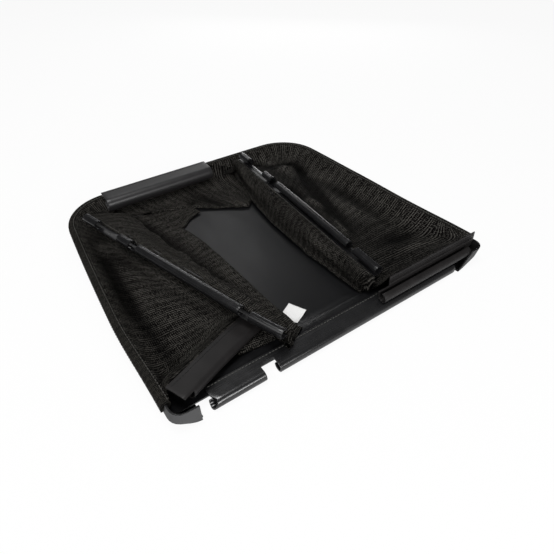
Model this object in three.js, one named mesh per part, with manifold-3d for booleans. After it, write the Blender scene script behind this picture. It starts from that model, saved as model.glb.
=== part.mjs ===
// Grass collection bag for a walk-behind mower, lying flat without its wire frame.
// Millimetres. X runs along the front edge, Y towards the rear, Z up, and the bag lies on z = 0.
//
// A moulded floor tray carries everything. Its flared rim is wrapped by a folded binding that
// holds three walls of woven mesh. Each wall folds inward over the floor to a crease and comes
// back to its own top edge, where an extruded clip is sewn on. In use the clips snap over the
// wires of the frame.

import * as THREE from "three";
import { mergeVertices } from "three/addons/utils/BufferGeometryUtils.js";
import Module from "manifold-3d";

const wasm = await Module();
wasm.setup();

// Floor tray
const FRONT_WIDTH = 438;
const REAR_WIDTH = 396;
const TRAY_DEPTH = 395;
const SIDE_BOW = 4;
const REAR_CORNER_RADIUS = 62;
const FRONT_CORNER_RADIUS = 13;
const RIM_HEIGHT = 24;
const WALL_FLARE = 16;
const BASE_FILLET = 6;
const RIM_BEND = 3;
const TRAY_WALL = 2;
const RETURN_LENGTH = 32;
const RETURN_SLANT = 12;
const RAMP_DEPTH = 52;
const RAMP_RUN = 26;
const LEDGE_SETBACK = 14;

// Binding round the rim
const BINDING_WIDTH = 10;
const BINDING_HEIGHT = 12;
const BINDING_GRIP = 8;
const BINDING_FRONT_STOP = 19;

// Mesh walls
const MESH = 1.2;
const CREASE_RADIUS = 2.2;
const WRINKLE = 1.4;
const CLOTH_LIFT = MESH * 0.85;
const VALLEY_INSET = 22;
const VALLEY_HEIGHT = 9.5;
const FOLD_HEIGHT = 8;
const PLEAT_HEIGHT = 14;
const CLOTH_SAG = 9;

// Extruded clips
const CLIP_WALL = 1.5;
const CLIP_BORE = 9.4;
const CLIP_MOUTH = 5.2;
const STITCH_GROOVE = 0.35;
const FRONT_STRIP = 18;
const FRONT_CLIP_LENGTH = 350;
const FRONT_NOTCH_START = 61;
const FRONT_NOTCH_WIDTH = 17;
const FRONT_NOTCH_REACH = 6;
const SIDE_STRIP = 20;
const SIDE_CLIP_LENGTH = 145;
const SIDE_HOOK_CUTBACK = 14;
const RIGHT_HOOK_REACH = 16;
const TOP_STRIP = 15;
const TOP_CLIP_LENGTH = 334;
const TOP_END_PIECE = 42;
const TOP_CROSS_NOTCH = 14;
const TOP_LONG_HOOK = 169;
const TOP_SHORT_HOOK = 23;
const TOP_WIDE_NOTCH = 45;
const TOP_CLIP_HEIGHT = 30;
const LEFT_CLIP_OUTER_HEIGHT = 31;
const LEFT_CLIP_INNER_HEIGHT = 18;
const REAR_STRIP = 20;
const REAR_CLIP_WALL = 1.8;
const REAR_CLIP_BORE = 16.4;
const REAR_CLIP_MOUTH = 9;
const REAR_CLIP_LENGTH = 166;
const REAR_CLIP_TOP = 40;
const REAR_CLIP_INSET = 13;

// Care label
const LABEL_WIDTH = 24;
const LABEL_LENGTH = 23;
const LABEL_THICKNESS = 0.5;

// Between pieces that touch, and between the front clip and the ground
const CLEARANCE = 0.3;
const GROUND_GAP = 0.2;

// Smoothness of round stretches
const CORNER_STEPS = 12;
const HOOK_STEPS = 16;

// Places worked out from the sizes
const FRONT_Y = -(TRAY_DEPTH + BINDING_WIDTH / 2) / 2;
const REAR_Y = FRONT_Y + TRAY_DEPTH;
const CLIP_OUTER = CLIP_BORE + 2 * CLIP_WALL;
const FRONT_CLIP_TOP = CLIP_OUTER + GROUND_GAP;
const LEDGE_TOP = FRONT_CLIP_TOP - CLIP_WALL - CLEARANCE;
const MESH_EDGE_INSET = BINDING_WIDTH / 2 + CLEARANCE + MESH / 2;
const MESH_EDGE_Z = RIM_HEIGHT - 3;

const MATERIALS = {
  tray: new THREE.MeshStandardMaterial({ color: 0x2a2b2e, roughness: 0.45, metalness: 0 }),
  binding: new THREE.MeshStandardMaterial({ color: 0x1b1b19, roughness: 0.9, metalness: 0 }),
  mesh: new THREE.MeshStandardMaterial({ color: 0x1e1d19, roughness: 0.95, metalness: 0 }),
  clip: new THREE.MeshStandardMaterial({ color: 0x252528, roughness: 0.32, metalness: 0 }),
  label: new THREE.MeshStandardMaterial({ color: 0xf2f2f0, roughness: 0.8, metalness: 0 }),
};

const mix = THREE.MathUtils.lerp;
const smooth = THREE.MathUtils.smoothstep;

// Rim line

// The rim's centreline runs up the bowed left side, round the rear corner and across, and the
// right half mirrors it. A place on it is a distance from the left front end.
const sideFoot = new THREE.Vector2(-FRONT_WIDTH / 2, FRONT_Y);
const sideHead = new THREE.Vector2(-REAR_WIDTH / 2, REAR_Y);
const sideChord = sideHead.clone().sub(sideFoot);
const sideRadius = (sideChord.lengthSq() / 4 + SIDE_BOW ** 2) / (2 * SIDE_BOW);
const sideCentre = new THREE.Vector2(sideChord.y, -sideChord.x)
  .setLength(sideRadius - SIDE_BOW)
  .add(sideFoot.clone().lerp(sideHead, 0.5));
const sideAngle = (y, radius) => Math.PI - Math.asin((y - sideCentre.y) / radius);
const sideStart = sideAngle(sideFoot.y, sideRadius);
const cornerStart = sideAngle(REAR_Y - REAR_CORNER_RADIUS, sideRadius - REAR_CORNER_RADIUS);
const cornerCentre = new THREE.Vector2(Math.cos(cornerStart), Math.sin(cornerStart))
  .multiplyScalar(sideRadius - REAR_CORNER_RADIUS)
  .add(sideCentre);
const sideLength = sideRadius * (sideStart - cornerStart);
const cornerLength = REAR_CORNER_RADIUS * (cornerStart - Math.PI / 2);
const rearLength = -2 * cornerCentre.x;
const rimLength = 2 * (sideLength + cornerLength) + rearLength;

function roundAbout(centre, radius, angle) {
  const nx = Math.cos(angle);
  const ny = Math.sin(angle);
  return { x: centre.x + radius * nx, y: centre.y + radius * ny, nx, ny };
}

function rimAt(distance) {
  if (distance > rimLength / 2) {
    const mirrored = rimAt(rimLength - distance);
    return { x: -mirrored.x, y: mirrored.y, nx: -mirrored.nx, ny: mirrored.ny };
  }
  if (distance <= sideLength) {
    return roundAbout(sideCentre, sideRadius, sideStart - distance / sideRadius);
  }
  if (distance <= sideLength + cornerLength) {
    const angle = cornerStart - (distance - sideLength) / REAR_CORNER_RADIUS;
    return roundAbout(cornerCentre, REAR_CORNER_RADIUS, angle);
  }
  return { x: cornerCentre.x + distance - sideLength - cornerLength, y: REAR_Y, nx: 0, ny: 1 };
}

// A place over the floor, as shares of the tray's half width and of its depth.
function place(across, back, z) {
  return new THREE.Vector3((across * FRONT_WIDTH) / 2, FRONT_Y + back * TRAY_DEPTH, z);
}

function insideRim(distance, inset, z) {
  const rim = rimAt(distance);
  return new THREE.Vector3(rim.x - rim.nx * inset, rim.y - rim.ny * inset, z);
}

// Closed solids

function solidVolume(points, triangles) {
  let volume = 0;
  for (const [a, b, c] of triangles) {
    volume += points[a].dot(new THREE.Vector3().crossVectors(points[b], points[c])) / 6;
  }
  return volume;
}

function solid(points, triangles) {
  const outward = solidVolume(points, triangles) > 0;
  const order = outward ? triangles : triangles.map(([a, b, c]) => [a, c, b]);
  const geometry = new THREE.BufferGeometry().setFromPoints(points);
  geometry.setIndex(order.flat());
  return geometry;
}

// Skins a row of rings that all have the same points, and closes both ends.
function loft(rings, outline) {
  const count = outline.length;
  const points = rings.flat();
  const triangles = [];
  for (let i = 0; i + 1 < rings.length; i += 1) {
    for (let j = 0; j < count; j += 1) {
      const a = i * count + j;
      const b = i * count + ((j + 1) % count);
      triangles.push([a, b, b + count], [a, b + count, a + count]);
    }
  }
  const last = (rings.length - 1) * count;
  const clockwise = THREE.ShapeUtils.isClockWise(outline);
  for (const [a, b, c] of THREE.ShapeUtils.triangulateShape(outline, [])) {
    const [p, q] = clockwise ? [c, b] : [b, c];
    triangles.push([last + a, last + p, last + q], [a, q, p]);
  }
  return solid(points, triangles);
}

// Gives a grid of points the thickness of cloth, half to each side.
function sheet(grid, thickness) {
  const rows = grid.length;
  const columns = grid[0].length;
  const points = [];
  for (const side of [0.5, -0.5]) {
    for (let i = 0; i < rows; i += 1) {
      for (let j = 0; j < columns; j += 1) {
        const along = grid[Math.min(i + 1, rows - 1)][j].clone();
        along.sub(grid[Math.max(i - 1, 0)][j]);
        const across = grid[i][Math.min(j + 1, columns - 1)].clone();
        across.sub(grid[i][Math.max(j - 1, 0)]);
        const normal = along.cross(across).normalize();
        points.push(grid[i][j].clone().addScaledVector(normal, side * thickness));
      }
    }
  }
  const under = rows * columns;
  const triangles = [];
  for (let i = 0; i + 1 < rows; i += 1) {
    for (let j = 0; j + 1 < columns; j += 1) {
      const a = i * columns + j;
      const b = a + columns;
      triangles.push([a, b, b + 1], [a, b + 1, a + 1]);
      triangles.push([under + a, under + b + 1, under + b], [under + a, under + a + 1, under + b + 1]);
    }
  }
  const border = [];
  for (let i = 0; i < rows - 1; i += 1) border.push(i * columns);
  for (let j = 0; j < columns - 1; j += 1) border.push((rows - 1) * columns + j);
  for (let i = rows - 1; i > 0; i -= 1) border.push(i * columns + columns - 1);
  for (let j = columns - 1; j > 0; j -= 1) border.push(j);
  border.forEach((a, index) => {
    const b = border[(index + 1) % border.length];
    triangles.push([a, under + a, under + b], [a, under + b, b]);
  });
  return solid(points, triangles);
}

// Joins and cuts

function toManifold(geometry) {
  const bare = geometry.clone();
  bare.deleteAttribute("normal");
  bare.deleteAttribute("uv");
  const merged = mergeVertices(bare, 1e-4);
  return new wasm.Manifold(
    new wasm.Mesh({
      numProp: 3,
      vertProperties: new Float32Array(merged.attributes.position.array),
      triVerts: new Uint32Array(merged.index.array),
    }),
  );
}

function toGeometry(manifold) {
  const mesh = manifold.getMesh();
  const geometry = new THREE.BufferGeometry();
  geometry.setAttribute("position", new THREE.BufferAttribute(mesh.vertProperties, mesh.numProp));
  geometry.setIndex(new THREE.BufferAttribute(mesh.triVerts, 1));
  return geometry;
}

function block(xRange, yRange, zRange) {
  const box = new THREE.BoxGeometry(
    xRange[1] - xRange[0],
    yRange[1] - yRange[0],
    zRange[1] - zRange[0],
  );
  box.translate(
    (xRange[0] + xRange[1]) / 2,
    (yRange[0] + yRange[1]) / 2,
    (zRange[0] + zRange[1]) / 2,
  );
  return box;
}

// Floor tray

function bend(start, corner, end, steps) {
  const curve = new THREE.QuadraticBezierCurve(start, corner, end);
  return curve.getPoints(steps);
}

// The wall's outer face as (inset from the rim line, height), from the floor up.
function wallOuterProfile() {
  const foot = new THREE.Vector2(WALL_FLARE, 0);
  const shoulder = new THREE.Vector2(-TRAY_WALL / 2, RIM_HEIGHT - BINDING_GRIP - RIM_BEND - 1);
  const lean = shoulder.clone().sub(foot).normalize();
  const floorEnd = new THREE.Vector2(WALL_FLARE + BASE_FILLET, 0);
  const leanStart = foot.clone().addScaledVector(lean, BASE_FILLET);
  const leanEnd = shoulder.clone().addScaledVector(lean, -RIM_BEND);
  const uprightStart = new THREE.Vector2(shoulder.x, shoulder.y + RIM_BEND);
  return [
    ...bend(floorEnd, foot, leanStart, 4),
    ...bend(leanEnd, shoulder, uprightStart, 3),
    new THREE.Vector2(shoulder.x, RIM_HEIGHT),
  ];
}

function offsetProfile(profile, distance) {
  return profile.map((point, index) => {
    const before = profile[Math.max(index - 1, 0)];
    const after = profile[Math.min(index + 1, profile.length - 1)];
    const direction = after.clone().sub(before).normalize();
    return new THREE.Vector2(point.x + direction.y * distance, point.y - direction.x * distance);
  });
}

// One closed ring of the tray at a height, with its sides and rear set in from the rim line.
function trayRing(inset, frontInset, z) {
  const radius = FRONT_CORNER_RADIUS - frontInset;
  const reach = sideRadius - inset - radius;
  const centreY = FRONT_Y + frontInset + radius;
  const centreX = sideCentre.x - Math.sqrt(reach ** 2 - (centreY - sideCentre.y) ** 2);
  const centre = new THREE.Vector2(centreX, centreY);
  const turn = sideAngle(centreY, reach);
  const steps = CORNER_STEPS / 2;
  const left = [];
  for (let i = 0; i <= steps; i += 1) {
    const point = roundAbout(centre, radius, mix((3 * Math.PI) / 2, turn, i / steps));
    left.push(new THREE.Vector3(point.x, point.y, z));
  }
  for (let i = 1; i < steps; i += 1) {
    const point = roundAbout(sideCentre, sideRadius - inset, mix(turn, cornerStart, i / steps));
    left.push(new THREE.Vector3(point.x, point.y, z));
  }
  for (let i = 0; i <= CORNER_STEPS; i += 1) {
    left.push(insideRim(sideLength + (cornerLength * i) / CORNER_STEPS, inset, z));
  }
  const right = left.map((point) => new THREE.Vector3(-point.x, point.y, z)).reverse();
  return [...left, ...right];
}

function trayShell(profile, frontInset) {
  const rings = profile.map((point) => trayRing(point.x, frontInset, point.y));
  return loft(rings, rings[0].map((point) => new THREE.Vector2(point.x, point.y)));
}

// The floor climbs from the ground to the ledge under the front clip.
function floorTop(y) {
  const climbed = (FRONT_Y + RAMP_DEPTH - y) / RAMP_RUN;
  return mix(TRAY_WALL, LEDGE_TOP, smooth(climbed, 0, 1));
}

function rampPlate() {
  const start = FRONT_Y + RAMP_DEPTH;
  const steps = 10;
  const top = [new THREE.Vector2(start + 1, TRAY_WALL)];
  for (let i = 0; i <= steps; i += 1) {
    const y = start - (RAMP_RUN * i) / steps;
    top.push(new THREE.Vector2(y, floorTop(y)));
  }
  top.push(new THREE.Vector2(FRONT_Y + LEDGE_SETBACK, LEDGE_TOP));
  const bottom = top.map((point) => new THREE.Vector2(point.x, point.y - TRAY_WALL)).reverse();
  const outline = [...top, ...bottom];
  const rings = [-FRONT_WIDTH / 2, FRONT_WIDTH / 2].map((x) =>
    outline.map((point) => new THREE.Vector3(x, point.x, point.y)),
  );
  return loft(rings, outline);
}

function floorTray() {
  const outer = wallOuterProfile();
  const inner = offsetProfile(outer, TRAY_WALL);
  inner[0].y = TRAY_WALL;
  inner.push(new THREE.Vector2(inner[inner.length - 1].x, RIM_HEIGHT + TRAY_WALL));
  const outerSolid = toManifold(trayShell(outer, 0));
  const innerSolid = toManifold(trayShell(inner, TRAY_WALL));
  const half = FRONT_WIDTH / 2 - RETURN_LENGTH;
  const opening = [
    new THREE.Vector2(-half, -1),
    new THREE.Vector2(half, -1),
    new THREE.Vector2(half + RETURN_SLANT, RIM_HEIGHT + 1),
    new THREE.Vector2(-half - RETURN_SLANT, RIM_HEIGHT + 1),
  ];
  const openingRings = [FRONT_Y - 1, FRONT_Y + TRAY_WALL + CLEARANCE].map((y) =>
    opening.map((point) => new THREE.Vector3(point.x, y, point.y)),
  );
  const frontOpening = toManifold(loft(openingRings, opening));
  const floorOpening = toManifold(
    block([-half, half], [FRONT_Y - 1, FRONT_Y + RAMP_DEPTH], [-1, TRAY_WALL + CLEARANCE]),
  );
  const ramp = toManifold(rampPlate()).intersect(outerSolid);
  const tray = outerSolid.subtract(innerSolid).subtract(frontOpening).subtract(floorOpening);
  return toGeometry(tray.add(ramp));
}

// Rim binding

// A folded tape with a rounded back: its section straddles the rim's upright.
function bindingSection() {
  const half = BINDING_WIDTH / 2;
  const slot = TRAY_WALL / 2 + CLEARANCE;
  const top = RIM_HEIGHT + BINDING_HEIGHT - BINDING_GRIP;
  const bottom = RIM_HEIGHT - BINDING_GRIP;
  const round = [];
  for (let i = 0; i <= 8; i += 1) {
    const angle = (Math.PI * i) / 8;
    round.push(new THREE.Vector2(half * Math.cos(angle), top - half + half * Math.sin(angle)));
  }
  return [
    ...round,
    new THREE.Vector2(-half, bottom + 1),
    new THREE.Vector2(-half + 1, bottom),
    new THREE.Vector2(-slot, bottom),
    new THREE.Vector2(-slot, RIM_HEIGHT + CLEARANCE),
    new THREE.Vector2(slot, RIM_HEIGHT + CLEARANCE),
    new THREE.Vector2(slot, bottom),
    new THREE.Vector2(half - 1, bottom),
    new THREE.Vector2(half, bottom + 1),
  ];
}

function rimBinding() {
  const section = bindingSection();
  const distances = [];
  const left = [];
  for (let i = 0; i <= 8; i += 1) left.push(mix(BINDING_FRONT_STOP, sideLength, i / 8));
  for (let i = 1; i <= CORNER_STEPS; i += 1) {
    left.push(sideLength + (cornerLength * i) / CORNER_STEPS);
  }
  distances.push(...left, rimLength / 2, ...left.map((d) => rimLength - d).reverse());
  const rings = distances.map((d) => section.map((p) => insideRim(d, -p.x, p.y)));
  return loft(rings, section);
}

// Clips

function arc(centre, radius, from, to, steps) {
  const points = [];
  for (let i = 0; i <= steps; i += 1) {
    const angle = mix(from, to, i / steps);
    const x = centre.x + radius * Math.cos(angle);
    points.push(new THREE.Vector2(x, centre.y + radius * Math.sin(angle)));
  }
  return points;
}

// The extruded section: a flat sewing strip whose outer edge curls over into a hook. The strip
// lies on y = 0 towards -x, the hook's centre is above x = 0, and the mouth faces the strip.
function hookSection(strip, wall, bore, mouth) {
  const inner = bore / 2;
  const outer = inner + wall;
  const centre = new THREE.Vector2(0, outer);
  const lip = Math.PI - Math.asin((mouth + wall - outer) / inner);
  const lipCentre = arc(centre, inner + wall / 2, lip, lip, 1)[0];
  const groove = strip / 2;
  return [
    new THREE.Vector2(-strip, wall / 3),
    new THREE.Vector2(-strip + wall / 3, 0),
    ...arc(centre, outer, -Math.PI / 2, lip, HOOK_STEPS),
    ...arc(lipCentre, wall / 2, lip, lip + Math.PI, 4).slice(1, -1),
    ...arc(centre, inner, lip, -Math.PI / 2, HOOK_STEPS),
    new THREE.Vector2(-groove + 2 * STITCH_GROOVE, wall),
    new THREE.Vector2(-groove, wall - STITCH_GROOVE),
    new THREE.Vector2(-groove - 2 * STITCH_GROOVE, wall),
    new THREE.Vector2(-strip + wall / 3, wall),
    new THREE.Vector2(-strip, (2 * wall) / 3),
  ];
}

// Where a clip lies: it runs from start along length, its strip points away from across, and
// its hook curls towards up.
function clipFrame(start, across, up) {
  const a = across.clone().normalize();
  const u = up.clone().addScaledVector(a, -up.dot(a)).normalize();
  const length = new THREE.Vector3().crossVectors(a, u);
  return { start, across: a, up: u, length };
}

function inFrame(frame, a, u, l) {
  return frame.start
    .clone()
    .addScaledVector(frame.across, a)
    .addScaledVector(frame.up, u)
    .addScaledVector(frame.length, l);
}

function extrudeClip(frame, section, length) {
  const rings = [0, length].map((l) => section.map((point) => inFrame(frame, point.x, point.y, l)));
  return toManifold(loft(rings, section));
}

function clipCut(frame, aRange, uRange, lRange) {
  const box = block(aRange, uRange, lRange);
  const basis = new THREE.Matrix4().makeBasis(frame.across, frame.up, frame.length);
  box.applyMatrix4(basis.setPosition(frame.start));
  return toManifold(box);
}

function frontClip() {
  const section = hookSection(FRONT_STRIP, CLIP_WALL, CLIP_BORE, CLIP_MOUTH);
  const start = new THREE.Vector3(
    -FRONT_CLIP_LENGTH / 2,
    FRONT_Y + CLIP_OUTER / 2,
    FRONT_CLIP_TOP,
  );
  const frame = clipFrame(start, new THREE.Vector3(0, -1, 0), new THREE.Vector3(0, 0, -1));
  const notch = clipCut(
    frame,
    [-FRONT_NOTCH_REACH, CLIP_OUTER],
    [-1, CLIP_OUTER + 1],
    [FRONT_NOTCH_START, FRONT_NOTCH_START + FRONT_NOTCH_WIDTH],
  );
  return toGeometry(extrudeClip(frame, section, FRONT_CLIP_LENGTH).subtract(notch));
}

// The hook of a side clip stops short of the strip's outer end, at the tray's corner. Its inner
// end may run on past the strip.
function sideClip(frame, hookReach) {
  const section = hookSection(SIDE_STRIP, CLIP_WALL, CLIP_BORE, CLIP_MOUTH);
  const length = SIDE_CLIP_LENGTH + hookReach;
  const hookHeights = [CLIP_WALL, CLIP_OUTER + 1];
  const cutback = clipCut(frame, [-CLIP_OUTER, CLIP_OUTER], hookHeights, [-1, SIDE_HOOK_CUTBACK]);
  const clip = extrudeClip(frame, section, length).subtract(cutback);
  if (hookReach === 0) return toGeometry(clip);
  const stripWidths = [-SIDE_STRIP - 1, -CLIP_OUTER / 2];
  const stripEnd = clipCut(frame, stripWidths, [-1, CLIP_OUTER], [SIDE_CLIP_LENGTH, length + 1]);
  return toGeometry(clip.subtract(stripEnd));
}

// Lies on its back from the left front corner inward: strip up, hook curled down in front.
const leftFrontOuter = place(-0.94, 0.034, LEFT_CLIP_OUTER_HEIGHT);
const leftFrontInner = place(-0.356, 0.163, LEFT_CLIP_INNER_HEIGHT);
const leftFrontRun = leftFrontInner.clone().sub(leftFrontOuter).normalize();
const leftFrontDown = new THREE.Vector3(0, 0, -1).addScaledVector(leftFrontRun, leftFrontRun.z);
const leftFrontFrame = clipFrame(
  leftFrontOuter,
  new THREE.Vector3().crossVectors(leftFrontDown, leftFrontRun),
  leftFrontDown,
);

// Stands on the front clip: strip upright, hook at its foot towards the front.
const rightFrontSetback = TRAY_WALL + CLIP_OUTER + 2 * CLEARANCE;
const rightFrontHeight = FRONT_CLIP_TOP + CLIP_OUTER / 2 + 2 * CLEARANCE;
const rightFrontInner = place(0.274, rightFrontSetback / TRAY_DEPTH, rightFrontHeight);
const rightFrontOuter = place(0.963, rightFrontSetback / TRAY_DEPTH, rightFrontHeight);
const rightFrontRun = rightFrontInner.clone().sub(rightFrontOuter).normalize();
const rightFrontDown = new THREE.Vector3(0, -0.09, -1).normalize();
const rightFrontFrame = clipFrame(
  rightFrontOuter,
  rightFrontDown,
  new THREE.Vector3().crossVectors(rightFrontRun, rightFrontDown),
);

// The top clips lie on the folded walls, one to each side, hooks up and mouths inward.
const leftTopNear = place(-0.384, 0.042, TOP_CLIP_HEIGHT);
const leftTopFar = place(-0.822, 0.837, TOP_CLIP_HEIGHT);
const rightTopNear = place(0.292, 0.082, TOP_CLIP_HEIGHT + MESH);
const rightTopFar = place(0.374, 0.93, TOP_CLIP_HEIGHT + MESH);
const up = new THREE.Vector3(0, 0, 1);
const leftTopRun = leftTopFar.clone().sub(leftTopNear).normalize();
const rightTopRun = rightTopNear.clone().sub(rightTopFar).normalize();
const leftTopFrame = clipFrame(leftTopNear, new THREE.Vector3().crossVectors(up, leftTopRun), up);
const rightTopStart = rightTopNear.clone().addScaledVector(rightTopRun, -TOP_CLIP_LENGTH);
const rightTopFrame = clipFrame(
  rightTopStart,
  new THREE.Vector3().crossVectors(up, rightTopRun),
  up,
);

// Distances from the near end at which the hook is cut away and only the strip runs on.
function topNotches() {
  const first = TOP_END_PIECE;
  const second = first + TOP_CROSS_NOTCH + TOP_LONG_HOOK;
  const third = second + TOP_CROSS_NOTCH + TOP_SHORT_HOOK;
  return [
    [first, first + TOP_CROSS_NOTCH],
    [second, second + TOP_CROSS_NOTCH],
    [third, third + TOP_WIDE_NOTCH],
  ];
}

function topClip(frame, nearEndFirst) {
  const section = hookSection(TOP_STRIP, CLIP_WALL, CLIP_BORE, CLIP_MOUTH);
  let clip = extrudeClip(frame, section, TOP_CLIP_LENGTH);
  for (const [from, to] of topNotches()) {
    const range = nearEndFirst ? [from, to] : [TOP_CLIP_LENGTH - to, TOP_CLIP_LENGTH - from];
    clip = clip.subtract(
      clipCut(frame, [-CLIP_OUTER, CLIP_OUTER], [CLIP_WALL, CLIP_OUTER + 1], range),
    );
  }
  return toGeometry(clip);
}

const rearClipLeft = place(-0.667, 1, 0).x;
const rearClipBack = REAR_Y - REAR_CLIP_INSET;
const rearOuter = REAR_CLIP_BORE + 2 * REAR_CLIP_WALL;
const rearFrame = clipFrame(
  new THREE.Vector3(rearClipLeft, rearClipBack - REAR_STRIP, REAR_CLIP_TOP),
  new THREE.Vector3(0, -1, 0),
  new THREE.Vector3(0, 0, -1),
);

function rearClip() {
  const section = hookSection(REAR_STRIP, REAR_CLIP_WALL, REAR_CLIP_BORE, REAR_CLIP_MOUTH);
  return toGeometry(extrudeClip(rearFrame, section, REAR_CLIP_LENGTH));
}

// Mesh walls

// What the cloth can rest on: the floor, and in front the strip of the front clip.
function supportTop(y) {
  const stripEdge = FRONT_Y + CLIP_OUTER / 2 + FRONT_STRIP;
  const onStrip = smooth((stripEdge - y) / CLIP_OUTER + 0.55, 0, 0.35);
  return mix(floorTop(y), FRONT_CLIP_TOP, onStrip);
}

// A wall's rows run from its front or left end to its other end. Each row is a smooth line
// through named places, from the rim over the floor to the crease and back to the clip.
function wall(section, rows, steps) {
  const grid = [];
  for (let i = 0; i <= rows; i += 1) {
    const curve = new THREE.CatmullRomCurve3(section(i / rows), false, "centripetal");
    grid.push(curve.getPoints(steps));
  }
  for (const point of grid.flat()) {
    point.z = Math.max(point.z, supportTop(point.y) + CLEARANCE + CLOTH_LIFT);
  }
  return sheet(grid, MESH);
}

function line(points) {
  return new THREE.CatmullRomCurve3(points, false, "centripetal");
}

// Both layers of a folded edge, the crease between them, as three places of a section.
function fold(crease, outward) {
  const inner = crease.clone().addScaledVector(outward, 1.4 * CREASE_RADIUS);
  const low = inner.clone().setZ(crease.z - CREASE_RADIUS);
  const high = inner.clone().setZ(crease.z + CREASE_RADIUS);
  return [low, crease, high];
}

function flatDirection(from, to) {
  return to.clone().sub(from).setZ(0).normalize();
}

// Pushes a place back until it lies behind the left front clip, keeping the order of rows.
function behindLeftClip(point) {
  const foot = inFrame(leftFrontFrame, -SIDE_STRIP - CLEARANCE - MESH, CLIP_WALL / 2, 0);
  const run = leftFrontFrame.length.clone().setZ(0).normalize();
  const back = new THREE.Vector3(-run.y, run.x, 0);
  const offset = point.clone().sub(foot);
  const along = offset.dot(run) / SIDE_CLIP_LENGTH;
  const depth = offset.dot(back);
  const reach = 1.3 * CLIP_OUTER * (1 - smooth(along, 1.03, 1.2));
  const pushed = (depth + Math.sqrt(depth * depth + 4 * reach * reach)) / 2;
  const rise = reach > 0 ? 1 - smooth(pushed / CLIP_OUTER, 0, 1.6) : 0;
  const stripZ = foot.z + (leftFrontFrame.length.z / run.length()) * along * SIDE_CLIP_LENGTH;
  const z = mix(point.z, Math.max(stripZ - CLIP_WALL, point.z), rise);
  return point.clone().addScaledVector(back, pushed - depth).setZ(z);
}

// The left wall's crease on the floor, front to rear, and the pleat that lies over it.
const leftCrease = line([
  place(-0.217, 0.057, FOLD_HEIGHT),
  place(-0.24, 0.22, FOLD_HEIGHT),
  place(-0.259, 0.39, FOLD_HEIGHT),
  place(-0.277, 0.53, FOLD_HEIGHT),
  place(-0.325, 0.69, 1.1 * FOLD_HEIGHT),
  place(-0.48, 0.82, 2 * FOLD_HEIGHT),
]);
const leftPleat = line([
  place(-0.32, 0.047, PLEAT_HEIGHT),
  place(-0.31, 0.25, PLEAT_HEIGHT),
  place(-0.402, 0.39, PLEAT_HEIGHT),
  place(-0.47, 0.51, PLEAT_HEIGHT),
  place(-0.525, 0.667, 1.1 * PLEAT_HEIGHT),
  place(-0.566, 0.835, 1.4 * PLEAT_HEIGHT),
]);
const underStrip = CLEARANCE + MESH / 2;
const wallStart = BINDING_FRONT_STOP + BINDING_WIDTH / 3;

function leftSection(s) {
  const rimDistance = mix(wallStart, sideLength + cornerLength + 0.03 * rearLength, s);
  const front = 1 - smooth(s, 0, 0.14);
  const edge = insideRim(rimDistance, MESH_EDGE_INSET, MESH_EDGE_Z);
  const valleyZ = VALLEY_HEIGHT * mix(0.85, 1.15, smooth(s, 0.6, 1));
  const valley = insideRim(rimDistance, VALLEY_INSET, valleyZ);
  const along = 1.02 * TOP_CLIP_LENGTH * s;
  const beneath = inFrame(leftTopFrame, 0, -CLOTH_SAG, along);
  beneath.z = mix(beneath.z, 0.75 * FOLD_HEIGHT, front);
  const slope = valley.clone().lerp(beneath, 0.55);
  slope.z = mix(1.9 * VALLEY_HEIGHT + WRINKLE * Math.sin(23 * s), 0.7 * FOLD_HEIGHT, front);
  const crease = leftCrease.getPoint(s);
  const beyond = beneath.clone().lerp(crease, 0.5);
  beyond.z = mix(1.5 * crease.z, 0.6 * FOLD_HEIGHT, front);
  const outward = flatDirection(crease, beneath);
  const folded = fold(crease, outward);
  const pleat = leftPleat.getPoint(s);
  const step = pleat.clone().addScaledVector(outward, -2.3 * CREASE_RADIUS);
  step.z = folded[2].z + MESH;
  const edgeTop = inFrame(leftTopFrame, -TOP_STRIP / 3, -underStrip, along);
  const band = pleat.clone().lerp(edgeTop, 0.45);
  band.z = mix(pleat.z, edgeTop.z, 0.75);
  const aroundEnd = inFrame(leftFrontFrame, -CLIP_OUTER / 3, CLIP_OUTER / 2, 1.04 * SIDE_CLIP_LENGTH);
  const turned = behindLeftClip(beyond).lerp(aroundEnd, 1 - smooth(s, 0.08, 0.2));
  const under = [valley, slope, beneath].map(behindLeftClip);
  return [edge, ...under, turned, ...folded, step, pleat, band, edgeTop];
}

const rightCrease = line([
  place(0.209, 0.06, FOLD_HEIGHT),
  place(0.19, 0.23, FOLD_HEIGHT),
  place(0.178, 0.4, FOLD_HEIGHT),
  place(0.187, 0.57, FOLD_HEIGHT),
  place(0.225, 0.74, 1.1 * FOLD_HEIGHT),
  place(0.295, 0.92, 1.5 * FOLD_HEIGHT),
]);

// A place behind the right front clip's strip, near its upper edge.
function behindRightClip(share) {
  const away = -CLEARANCE - MESH;
  return inFrame(rightFrontFrame, -0.85 * SIDE_STRIP, away, share * SIDE_CLIP_LENGTH);
}

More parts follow.
